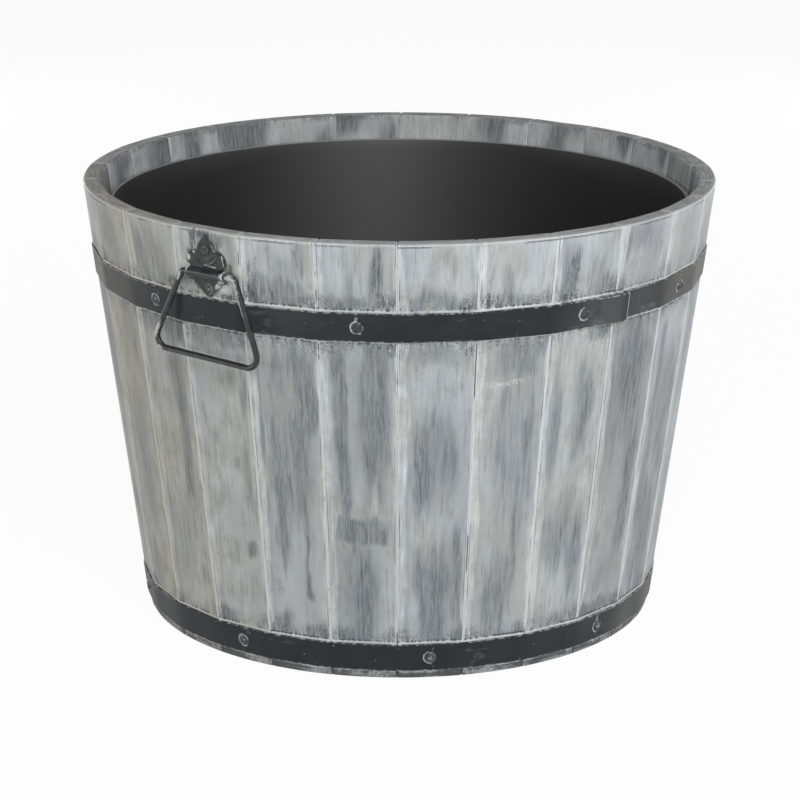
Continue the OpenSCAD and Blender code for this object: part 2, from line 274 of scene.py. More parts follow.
def soft_step(x, low, high):
    """0 below low, 1 above high, and 3 t^2 - 2 t^3 between."""
    t = np.clip((x - low) / (high - low), 0, 1)
    return t * t * (3 - 2 * t)


def soft_box(x, low, high, edge):
    """1 between low and high, falling softly to 0 over the width of an edge on both sides."""
    return soft_step(x, low - edge, low + edge) * (1 - soft_step(x, high - edge, high + edge))


print("a few heights:", np.round(soft_noise(np.array([0.5, 1.5]), np.array([0.5, 2.5]), 1), 3))

# %% [markdown]
# The hoops tell where their edges are: the wash was brushed on after they were screwed down, so it is thick
# against the steel and rubbed thin a finger's width further on. The screws are found from their own
# vertices, since a screw lies within a degree of the middle of its stave.

# %% Measure the hoops
HOOP_W = 19.5 * MM
HOOP_T = 1.2 * MM
HOOP_SEAT = 0.05 * MM
LAPPED_BEYOND = 1.5 * HOOP_T
HOOPS = ("upper_hoop", "lower_hoop")


def hoop_height(node):
    """Height of a hoop's middle on the outer faces, from its top edge."""
    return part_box(node)[1].z - HOOP_W / 2 * math.cos(lean) + HOOP_SEAT * math.sin(lean)


def screw_staves(node):
    """Numbers of the staves, from 0, that carry a hoop's screws."""
    places = vertices_of(node)
    turns = np.arctan2(places[:, 1], places[:, 0]) / pitch
    return sorted(set((np.round(turns).astype(int) % stave_count).tolist()))


def lap_angles(node):
    """Where the raised stretch of a strap starts and ends, as angles round the axis."""
    places = vertices_of(node)
    angle = np.arctan2(places[:, 1], places[:, 0])
    off_middle = angle - pitch * np.round(angle / pitch)
    distance = np.hypot(places[:, 0], places[:, 1]) * np.cos(off_middle)
    raised = angle[distance - outer_face(places[:, 2]) > LAPPED_BEYOND]
    middle = np.angle(np.exp(1j * raised).mean())
    around = np.angle(np.exp(1j * (raised - middle)))
    return middle + around.min(), middle + around.max()


hoop_z = {node: hoop_height(node) for node in HOOPS}
hoop_screws = {node: screw_staves(node + "_screws") for node in HOOPS}
hoop_laps = {node: lap_angles(node) for node in HOOPS}
for node in HOOPS:
    print(node, f"{hoop_z[node] / MM:.2f} mm", hoop_screws[node], np.round(np.degrees(hoop_laps[node]), 2))

# %% [markdown]
# Shader maths reads best as Python. A small class wraps a socket, so that 1 - mask adds a Subtract node, and
# one method adds any other node: settings first, because they choose its sockets, then values or links.

# %% Materials as expressions
# Where a Mix node's two colours stand among its inputs, and its colour among its outputs
MIX_A, MIX_B, MIX_COLOUR = 6, 7, 2


def paint(red, green, blue):
    """A colour written as it looks on screen, from 0 to 255, made linear for the shader."""
    shares = np.array([red, green, blue]) / 255
    linear = np.where(shares <= 0.04045, shares / 12.92, ((shares + 0.055) / 1.055) ** 2.4)
    return (*linear.tolist(), 1.0)


class Value:
    """A node's output. Arithmetic on it adds Math nodes, and its methods add the nodes used most."""

    def __init__(self, nodes, socket):
        self.nodes, self.socket = nodes, socket

    def math(self, operation, *inputs):
        return self.nodes.add("ShaderNodeMath", {"operation": operation}, dict(enumerate(inputs)))

    def __add__(self, other):
        return self.math("ADD", self, other)

    def __sub__(self, other):
        return self.math("SUBTRACT", self, other)

    def __rsub__(self, other):
        return self.math("SUBTRACT", other, self)

    def __mul__(self, other):
        return self.math("MULTIPLY", self, other)

    __radd__ = __add__
    __rmul__ = __mul__

    def step(self, low, high):
        """0 at low, 1 at high, with a soft step between. It falls where low is above high."""
        inputs = {"Value": self, "From Min": low, "From Max": high}
        return self.nodes.add("ShaderNodeMapRange", {"interpolation_type": "SMOOTHSTEP"}, inputs)

    def mix(self, a, b):
        """Colour a where this share is 0, and colour b where it is 1."""
        inputs = {0: self, MIX_A: a, MIX_B: b}
        return self.nodes.add("ShaderNodeMix", {"data_type": "RGBA"}, inputs, MIX_COLOUR)

    def part(self, axis):
        """One part of a vector."""
        return self.nodes.add("ShaderNodeSeparateXYZ", {}, {0: self}, axis)

    def times(self, factor):
        """A colour or a vector times a number or another of its kind, part by part."""
        return self.nodes.add("ShaderNodeVectorMath", {"operation": "MULTIPLY"}, {0: self, 1: factor})

    def length(self, stretch):
        """Length of a vector whose parts are first multiplied by stretch."""
        inputs = {0: self.times(stretch)}
        return self.nodes.add("ShaderNodeVectorMath", {"operation": "LENGTH"}, inputs, "Value")

    def noise(self, per_metre, detail=2.0, roughness=0.5):
        """Noise from 0 to 1 at a place, with its own number of cells in a metre along each axis."""
        inputs = {"Vector": self.times(per_metre), "Scale": 1.0, "Detail": detail, "Roughness": roughness}
        return self.nodes.add("ShaderNodeTexNoise", {}, inputs)


def most(first, *others):
    """The largest of some values, two at a time."""
    for other in others:
        first = first.math("MAXIMUM", first, other)
    return first


def least(a, b):
    """The smaller of two values."""
    return a.math("MINIMUM", a, b)


print("whitewash is written as", np.round(paint(176, 182, 184), 3))

# %% Node trees


class Nodes:
    """The node tree of a material or a world."""

    def __init__(self, owner):
        owner.use_nodes = True
        self.owner, self.tree = owner, owner.node_tree

    def feed(self, target, inputs):
        """Gives a node's sockets numbers, colours or links."""
        for socket, value in inputs.items():
            if isinstance(value, Value):
                self.tree.links.new(value.socket, target.inputs[socket])
            else:
                target.inputs[socket].default_value = value

    def add(self, kind, settings, inputs, output=0):
        """Adds a node with its settings, then its inputs, and returns one of its outputs."""
        made = self.tree.nodes.new(kind)
        for setting, value in settings.items():
            setattr(made, setting, value)
        self.feed(made, inputs)
        return Value(self, made.outputs[output])


class Finish(Nodes):
    """A material that is built node by node, with numbers for the sockets that are the same all over."""

    def __init__(self, name, surface):
        super().__init__(bpy.data.materials.new(name))
        self.surface = self.tree.nodes["Principled BSDF"]
        self.feed(self.surface, surface)

    def number(self, label, output="Fac"):
        """A number stored on the points."""
        return self.add("ShaderNodeAttribute", {"attribute_name": label}, {}, output)

    def vector(self, label):
        """A vector stored on the points."""
        return self.number(label, "Vector")

    def place(self):
        """Object coordinates, in metres."""
        return self.add("ShaderNodeTexCoord", {}, {}, "Object")

    def made(self, colour, roughness, height, distance):
        """The finished material, bumped by a height from 0 to 1 times a distance in metres."""
        bump = self.add("ShaderNodeBump", {}, {"Height": height, "Distance": distance, "Strength": 1.0})
        self.feed(self.surface, {"Base Color": colour, "Roughness": roughness, "Normal": bump})
        return self.owner


def coat(pieces, material):
    """Gives pieces their material."""
    for piece in pieces:
        piece.data.materials.append(material)
    print(material.name, "has", len(material.node_tree.nodes), "nodes, on", len(pieces), "pieces")


print("a finish starts from the sockets of a Principled BSDF, such as Specular IOR Level")

# %% [markdown]
# A stave is a flat board whose two edges are bevelled towards the axis. The whitewash lies in three
# thicknesses: built up white in the joints and against the hoops, brushed on the faces, and rubbed through
# to the blue-grey stain in patches. A stave could be a box with a picture of wood on it, but here the
# section is a soft-cornered outline carried up the stave, dense enough on its outer face to hold the
# patches, with cracks opened in the joints as real gaps.

# %% The stave's rings
ARRIS = 0.35 * MM
END_ROUND = 1.5 * MM
FACE_STEPS, SIDE_STEPS, BACK_STEPS, CORNER_STEPS = 46, 4, 10, 2
UP_STEPS = 190
END_STEPS = 4
CAP_SHARES = np.array([0.86, 0.68, 0.5, 0.32, 0.16])

caps = len(CAP_SHARES)
turn = np.linspace(0, math.pi / 2, END_STEPS + 1)
body_z = np.linspace(END_ROUND, tub_h - END_ROUND, UP_STEPS + 1)
ring_z = np.concatenate([
    np.zeros(caps), END_ROUND * (1 - np.cos(turn[:-1])), body_z,
    tub_h - END_ROUND * (1 - np.sin(turn[1:])), np.full(caps, tub_h),
])
ring_inset = np.concatenate([
    np.full(caps, END_ROUND), END_ROUND * (1 - np.sin(turn[:-1])), np.zeros(len(body_z)),
    END_ROUND * (1 - np.cos(turn[1:])), np.full(caps, END_ROUND),
])
ring_share = np.concatenate([CAP_SHARES[::-1], np.ones(len(ring_z) - 2 * caps), CAP_SHARES])
outline_size = 4 * CORNER_STEPS + FACE_STEPS + BACK_STEPS + 2 * SIDE_STEPS
print(f"a stave has {len(ring_z)} rings of {outline_size} points")

# %% [markdown]
# The worn places of the staves that face the camera are listed: where each lies across its stave
# (from -1 to 1), its lower and upper end in millimetres, its half width, how bare it is and, where its ends
# are crisp, how many millimetres they take to fade. All the other staves get places of the same kinds from a
# seeded generator, long streaks, broad patches and small rubs, so the tub looks right from every side.

# %% Chosen worn places
CHOSEN_WEAR = {
    11: [(-0.1, 80, 180, 0.5, 0.3), (0.1, 190, 236, 0.6, 0.35), (-0.1, 262, 298, 0.6, 0.3),
         (-0.3, 30, 60, 0.4, 0.3)],
    12: [(0.45, 112, 238, 0.24, 0.54), (0.3, 178, 208, 0.34, 0.3), (0.0, 228, 241, 0.9, 0.5),
         (-0.2, 50, 110, 0.5, 0.18), (0.0, 262, 300, 0.7, 0.3), (-0.5, 262, 290, 0.2, 0.25)],
    13: [(0.78, 184, 206, 0.16, 0.5), (0.72, 112, 170, 0.13, 0.38), (0.6, 79, 90, 0.17, 0.55, 3),
         (-0.15, 228, 242, 0.8, 0.45), (0.4, 142, 152, 0.16, 0.35, 3), (-0.55, 28, 38, 0.35, 0.5, 3),
         (-0.9, 268, 300, 0.14, 0.4), (0.15, 296, 305, 0.5, 0.5, 3), (0.75, 270, 304, 0.16, 0.32)],
    14: [(0.15, 112, 240, 0.78, 0.42), (0.72, 176, 232, 0.16, 0.5), (0.45, 112, 205, 0.13, 0.42),
         (-0.35, 82, 184, 0.22, 0.42), (-0.76, 128, 218, 0.06, 0.4), (0.35, 74, 106, 0.06, 0.5),
         (0.4, 58, 76, 0.08, 0.8, 4), (-0.45, 28, 46, 0.3, 0.52, 5), (0.55, 26, 38, 0.35, 0.45, 4),
         (0.35, 38, 110, 0.5, 0.14), (0.0, 262, 278, 0.8, 0.42), (-0.7, 262, 288, 0.22, 0.4),
         (0.62, 284, 306, 0.2, 0.36), (0.2, 276, 296, 0.5, 0.2)],
    15: [(-0.46, 118, 240, 0.18, 0.66), (0.4, 122, 240, 0.36, 0.5), (0.56, 182, 236, 0.14, 0.55),
         (0.2, 130, 210, 0.1, 0.3), (-0.05, 150, 240, 0.2, 0.18), (0.0, 99, 116, 0.74, 0.62, 2.5),
         (0.66, 96, 110, 0.12, 0.4, 3), (0.0, 30, 99, 0.58, 0.46), (0.2, 28, 86, 0.2, 0.42),
         (-0.4, 26, 36, 0.3, 0.5, 3), (0.56, 266, 303, 0.11, 0.75), (0.42, 262, 292, 0.12, 0.4),
         (-0.25, 262, 272, 0.5, 0.45, 4), (-0.2, 264, 292, 0.1, 0.35)],
    16: [(-0.2, 126, 192, 0.36, 0.46), (-0.42, 128, 168, 0.12, 0.5), (0.38, 140, 194, 0.26, 0.4),
         (0.0, 226, 241, 0.8, 0.32), (0.1, 44, 104, 0.5, 0.5), (0.72, 46, 106, 0.14, 0.55),
         (-0.3, 60, 96, 0.18, 0.4), (0.1, 28, 50, 0.7, 0.25), (0.05, 50, 98, 0.05, 0.5),
         (0.0, 262, 273, 0.9, 0.42, 5), (-0.4, 262, 280, 0.22, 0.15)],
    17: [(0.1, 212, 241, 0.7, 0.5), (0.32, 122, 216, 0.6, 0.3), (-0.3, 142, 196, 0.3, 0.28),
         (0.6, 150, 205, 0.14, 0.25), (0.1, 28, 128, 0.8, 0.24), (-0.1, 36, 80, 0.4, 0.42),
         (0.4, 70, 116, 0.16, 0.34), (-0.2, 262, 286, 0.16, 0.4), (0.1, 262, 272, 0.8, 0.34, 5),
         (-0.1, 286, 304, 0.5, 0.12)],
    18: [(0.35, 150, 216, 0.32, 0.44), (0.44, 168, 206, 0.2, 0.3), (-0.56, 142, 202, 0.16, 0.36),
         (0.6, 231, 241, 0.36, 0.5, 4), (0.15, 88, 138, 0.22, 0.45), (-0.2, 70, 112, 0.4, 0.4),
         (0.55, 46, 100, 0.22, 0.6), (0.1, 28, 40, 0.8, 0.3, 5), (-0.5, 262, 298, 0.24, 0.55),
         (0.3, 262, 292, 0.34, 0.34), (0.7, 262, 274, 0.2, 0.42, 4)],
    19: [(0.1, 168, 234, 0.5, 0.5), (0.1, 182, 212, 0.36, 0.6), (0.55, 62, 150, 0.24, 0.6),
         (-0.75, 90, 150, 0.1, 0.2), (0.1, 150, 241, 0.9, 0.36), (0.1, 40, 160, 0.8, 0.2),
         (0.0, 26, 36, 0.9, 0.42, 4), (-0.45, 286, 307, 0.42, 0.34), (0.3, 262, 300, 0.3, 0.2),
         (0.2, 40, 60, 0.5, 0.2)],
    20: [(-0.42, 84, 224, 0.2, 0.45), (0.3, 120, 200, 0.7, 0.42), (0.2, 30, 110, 0.7, 0.6),
         (0.1, 262, 304, 0.7, 0.2), (0.9, 100, 140, 0.12, 0.3)],
    21: [(0.0, 150, 236, 0.6, 0.32), (0.2, 40, 120, 0.6, 0.3), (0.0, 262, 300, 0.6, 0.3)],
}
print(sum(len(places) for places in CHOSEN_WEAR.values()), "worn places on", len(CHOSEN_WEAR), "staves")

# %% Drawn worn places and cracks
# Kinds of worn place on the other staves: least count and the first that is too many, then the least and
# greatest height, half width and bareness
DRAWN_KINDS = [
    ((2, 5), (60, 140), (0.12, 0.28), (0.35, 0.6)),
    ((1, 4), (40, 100), (0.45, 0.75), (0.25, 0.45)),
    ((2, 6), (10, 26), (0.15, 0.5), (0.3, 0.6)),
]
DRAWN_ACROSS = (-0.65, 0.7)
DRAWN_LOWEST, DRAWN_HIGHEST = 20, 307
DRAWN_CRACKS, CRACK_LENGTHS, CRACK_HEIGHTS = (0, 4), (3, 16), (25, 285)
WEAR_SEED, STAVE_SEED, CRACK_SEED = 100, 200, 300
# Lower and upper ends, in millimetres, of the open stretches of the joint after a stave
CHOSEN_CRACKS = {
    13: [(287, 296)],
    14: [(267, 275), (228, 231), (234, 239)],
    15: [(213, 216), (24, 34)],
    16: [(202, 240), (78, 104)],
    17: [(24, 30)],
}


def drawn_wear(index):
    """Worn places for a stave that the camera's view does not show."""
    draw = np.random.default_rng(WEAR_SEED + index)
    places = []
    for count, (heights, widths, depths) in [(draw.integers(*few), rest) for few, *rest in DRAWN_KINDS]:
        for _ in range(count):
            height = draw.uniform(*heights)
            low = draw.uniform(DRAWN_LOWEST, DRAWN_HIGHEST - height)
            middle = draw.uniform(*DRAWN_ACROSS)
            places.append((middle, low, low + height, draw.uniform(*widths), draw.uniform(*depths)))
    return places


def cracks_of(joint):
    """The open stretches of the joint after a stave, chosen or drawn."""
    joint = joint % stave_count
    if joint in CHOSEN_CRACKS or joint + 1 in CHOSEN_WEAR:
        return CHOSEN_CRACKS.get(joint, [])
    draw = np.random.default_rng(CRACK_SEED + joint)
    lows = draw.uniform(*CRACK_HEIGHTS, draw.integers(*DRAWN_CRACKS))
    return [(low, low + draw.uniform(*CRACK_LENGTHS)) for low in lows]


print("stave 3 gets", len(drawn_wear(3)), "worn places; the joint after stave 16 opens at", cracks_of(16))

# %% Maps of wear and cracks
CRACK_END = 1.0 * MM
# How noise sways and frays worn places: how far, cells across a stave, height of a cell in mm, and seed
SWAYS = ((0.3, 2, 24, 700), (0.16, 6, 8, 750))
FRAYS = ((26 * MM, 3, 70, 800), (18 * MM, 12, 40, 850))
SWAY_LEAST, FRAY_FULL = 0.35, 14 * MM
FADE_SHARE, FADE_MOST = 0.3, 16 * MM
# How clean a whole stave is at best, how much less in places, and that noise
CLEAN, LESS_CLEAN, CLEAN_WAVE = 0.94, 0.16, (2, 50, 500)


def crack_map(joint, z):
    """1 where the joint after a stave is open, 0 where paint fills it."""
    open_share = np.zeros_like(z)
    for low, high in cracks_of(joint):
        open_share = np.maximum(open_share, soft_box(z, low * MM, high * MM, CRACK_END))
    return open_share


def wear_map(index, share, z):
    """How bare a stave is, from 0 to 1.

    A worn place is e^(-|d|^3) across the board, d half widths from its middle, times a soft box along it.
    Noise pushes the points about first, which sways its sides and frays its ends like brush strokes. Worn
    places lie over each other as 1 - (1 - a)(1 - b).
    """

    def wave(cells, rise, seed, offset=5):
        return soft_noise(share * cells + offset, z / (rise * MM), seed + index)

    sway, fray = (sum(reach * (wave(*kind) - 0.5) for reach, *kind in waves) for waves in (SWAYS, FRAYS))
    clean = CLEAN - LESS_CLEAN * wave(*CLEAN_WAVE, offset=7)
    for middle, low, high, width, bare, *crisp in CHOSEN_WEAR.get(index) or drawn_wear(index):
        fade = crisp[0] * MM if crisp else min(FADE_SHARE * ((high - low) * MM), FADE_MOST)
        off_middle = np.abs(share + sway * min(1.0, SWAY_LEAST + width) - middle) / width
        along = soft_box(z + fray * min(1.0, fade / FRAY_FULL), low * MM, high * MM, fade)
        clean = clean * (1 - bare * np.exp(-off_middle**3) * along)
    return 1 - clean


print("how bare stave 15 is, 0.2 m up:", wear_map(15, np.linspace(-1, 1, 5), np.full(5, 0.2)).round(2))

# %% [markdown]
# Each stave was painted by itself, so each has its own cast. The staves on the left of the view get a
# warmer, darker one. The cast is a colour that the finish multiplies by, stored on the stave's points.

# %% Casts and smudges
CHOSEN_TINTS = {
    9: (0.88, 0.84, 0.79), 10: (0.89, 0.85, 0.80), 11: (0.93, 0.885, 0.82), 12: (0.90, 0.87, 0.815),
    13: (0.91, 0.91, 0.88), 14: (1.03, 1.03, 1.025), 15: (0.985, 0.99, 1.0), 16: (1.0, 1.0, 1.01),
    17: (1.05, 1.04, 1.04), 18: (0.975, 0.97, 0.97), 19: (0.885, 0.875, 0.88), 20: (0.98, 0.97, 0.98),
    21: (0.95, 0.95, 0.96),
}
# Dark smudges and, where the darkness is negative, daubs of wash: place across a stave and height, half
# width and half height, all in millimetres, and darkness
SMUDGES = {
    12: [(12, 258, 9, 3, 0.6), (18, 266, 5, 6, 0.5)],
    13: [(-10, 301, 3.5, 6, 0.8), (-13, 290, 3, 5, 0.7), (0, 304, 6, 2.5, 0.8), (7, 296, 3.5, 5, 0.7),
         (11, 290, 3, 4, 0.6), (18, 282, 3, 4, 1.0), (-12, 271, 4, 7, 0.65), (14, 263, 6, 2, 1.0),
         (-14, 263, 5, 2, 0.7), (13, 270, 5, 4, -1.0), (19, 274, 5, 3, -0.9), (-18, 281, 2, 3, -0.8),
         (22, 268, 2, 7, -0.7)],
    14: [(-17, 282, 6, 16, 0.3), (-8, 269, 16, 7, 0.25), (14, 292, 4, 14, 0.28), (16, 267, 7, 4, 0.25)],
    15: [(13, 284, 5, 18, 0.32), (19, 269, 7, 6, 0.3), (-16, 264, 7, 3, 0.3)],
    16: [(18, 263, 5, 3, 0.5)],
    17: [(-8, 209, 14, 2.6, -0.36), (8, 211, 8, 1.6, -0.3), (-18, 280, 3, 18, 0.25),
         (-17, 267, 8, 5, 0.4), (6, 265, 16, 3.5, 0.2)],
    18: [(-14, 263, 6, 3, 0.5), (-12, 280, 7, 20, 0.32)],
    20: [(4, 226, 10, 16, 0.14)],
}


def smudge_map(index, across, z):
    """Dark smudges less daubs: each is e^(-(x/a)^4 - (y/b)^4), so it has a flat top and soft sides."""
    total = np.zeros_like(z)
    for x, height, half_w, half_h, darkness in SMUDGES.get(index, []):
        u, v = (across - x * MM) / (half_w * MM), (z - height * MM) / (half_h * MM)
        total = total + darkness * np.exp(-(u**4) - v**4)
    return total


print("smudged staves:", len(SMUDGES))

# %% Sanding
SANDED_FROM, SANDED_FULL = 262 * MM, 302 * MM
SANDED_OFF = 0.15 * MM
FOOT_OFF = 0.7 * MM
FOOT_SANDED, FOOT_WHOLE = 4 * MM, 12 * MM
INNER_SANDING = 0.6


def sanding(across, depth, z, under_plate):
    """How far a point near the rim or the foot moves outwards, because both are sanded round.

    Outside the rim it is sqrt(r^2 - across^2) less the flat's distance, r being a hair under the corners'
    radius, and nothing where a handle's plate needs the flat. The foot and the inside work in the same way.
    """

    def crown(flat, off=0.0):
        corner_r = flat / math.cos(pitch / 2) - off
        return np.sqrt(corner_r**2 - across**2) - flat

    rim = np.minimum(crown(rim_out, SANDED_OFF), 0.0 if under_plate else 1.0)
    foot = crown(foot_out, FOOT_OFF) * (1 - soft_step(z, FOOT_SANDED, FOOT_WHOLE)) * (1 - depth)
    into = np.clip(INNER_SANDING * crown(rim_in), 0, None)
    return soft_step(z, SANDED_FROM, SANDED_FULL) * (rim * (1 - depth) + into * depth) + foot


print(f"the rim's flats swell by {sanding(0.0, 0.0, tub_h, False) / MM:.1f} mm in their middles")

# %% Make the staves
SUNK_MM = (0.02, 0.16)
TINTS_FROM = 0.93
CRACK_DEPTH = 0.15 * MM
FRONT_DEPTH = 0.8 * MM
HOLLOW = 0.3 * MM
BACK_FROM, BACK_FULL = 0.6, 0.9
BACK_CLEAN, MOTTLED, MOTTLE_FROM, MOTTLE_FULL = 0.75, 0.8, 0.38, 0.85
HOLLOW_SEED, MOTTLE_SEED = 900, 600
NO_HOOP = 1.0


def hoop_gap(z):
    """Distance along a stave to the nearest strap edge, negative under the strap."""
    return np.minimum(*(np.abs(z - hoop_z[node]) / math.cos(lean) - HOOP_W / 2 for node in HOOPS))


def stave_shape(index):
    """Rings of a stave, and the numbers that its finish reads.

    At each height the section's corners are the outer and inner face at plus and minus half a width, drawn
    in by the rounding of the ends, by the open cracks at each side and by a hair of unevenness.
    """
    draw = np.random.default_rng(STAVE_SEED + index)
    outer = outer_face(ring_z) - ring_inset - draw.uniform(*SUNK_MM) * MM
    inner = inner_face(ring_z) + ring_inset
    right_crack, left_crack = crack_map(index, ring_z), crack_map(index - 1, ring_z)
    shaped = []
    for distance in (outer, inner):
        half = half_width(distance) - ring_inset
        shaped.append((distance, -half + CRACK_DEPTH * left_crack))
        shaped.append((distance, half - CRACK_DEPTH * right_crack))
    corners = np.stack([np.stack(shaped[k], axis=1) for k in (0, 1, 3, 2)], axis=1)
    outline = soft_outline(corners, ARRIS, CORNER_STEPS, (FACE_STEPS, SIDE_STEPS, BACK_STEPS, SIDE_STEPS))
    middle = corners.mean(axis=1, keepdims=True)
    outline = middle + (outline - middle) * ring_share[:, None, None]

    z = np.broadcast_to(ring_z[:, None], outline.shape[:2])
    inward = outer[:, None] - outline[:, :, 0]
    width = half_width(outer_face(z) - inward)
    across = outline[:, :, 1]
    share = np.clip(across / width, -1, 1)
    on_back = soft_step(inward, BACK_FROM * stave_t, BACK_FULL * stave_t)
    on_front = (inward < FRONT_DEPTH) & (ring_share[:, None] == 1)
    hollow = HOLLOW * soft_noise(share * 1.5 + 9, z / (60 * MM), HOLLOW_SEED + index) * (1 - share**2)
    outline[:, :, 0] -= hollow * on_front
    under_plate = index % (stave_count // 2) == 0
    outline[:, :, 0] += sanding(across, np.clip(inward / stave_t, 0, 1), z, under_plate)
    rings = np.concatenate([outline, z[:, :, None]], axis=2)

    cap_side = np.where(ring_z > tub_h / 2, 1, -1)[:, None] * (ring_share[:, None] < 1)
    up_board = z / math.cos(lean)
    along = up_board + cap_side * inward
    from_rim = np.where(cap_side > 0, inward, stave_length - up_board)
    mottle = soft_noise(share * 1.5 + 3, z / (45 * MM), MOTTLE_SEED + index)
    mottle = soft_step(mottle, MOTTLE_FROM, MOTTLE_FULL) * on_back
    end = np.broadcast_to(ring_inset[:, None] / END_ROUND, z.shape)
    tint = np.array(CHOSEN_TINTS.get(index, np.array([1, 1, 1]) * draw.uniform(TINTS_FROM, 1.0)))
    return turned(rings, index * pitch), {
        "board": np.stack([across, along, np.full_like(along, index) + 0.5 * on_back], axis=2),
        "edges": np.stack([
            np.clip(width + across, 0, None), np.clip(width - across, 0, None), from_rim + on_back], axis=2),
        "hoop": np.where(on_front, hoop_gap(z), NO_HOOP),
        "worn": wear_map(index, share, z) * (1 - BACK_CLEAN * on_back) + MOTTLED * mottle,
        "crack": np.where(share > 0, right_crack[:, None], left_crack[:, None]),
        "marks": np.stack([smudge_map(index, across, z) * on_front, end, on_back], axis=2),
        "tint": np.broadcast_to(tint, along.shape + (3,)),
    }


staves = []
for index in range(stave_count):
    node = f"stave_{index + 1:02d}"
    staves.append(stands_for(ring_object("washed_" + node, stave_shape(index)), node))
print(len(staves), "staves of", len(staves[0].data.polygons), "faces")

# %% [markdown]
# The wash itself is noise on the board's own coordinates, stretched along the grain: hair streaks, brush
# streaks, blotches and speckle. Streaks show most where the wash is rubbed, so they multiply the stored wear
# and do not just add to it. Distances stored on the points place what follows the edges: the bright filled
# joint, the clean margin beside it, the ridge of wash along each hoop and the grimy fringe next to that.

# %% Whitewashed wood


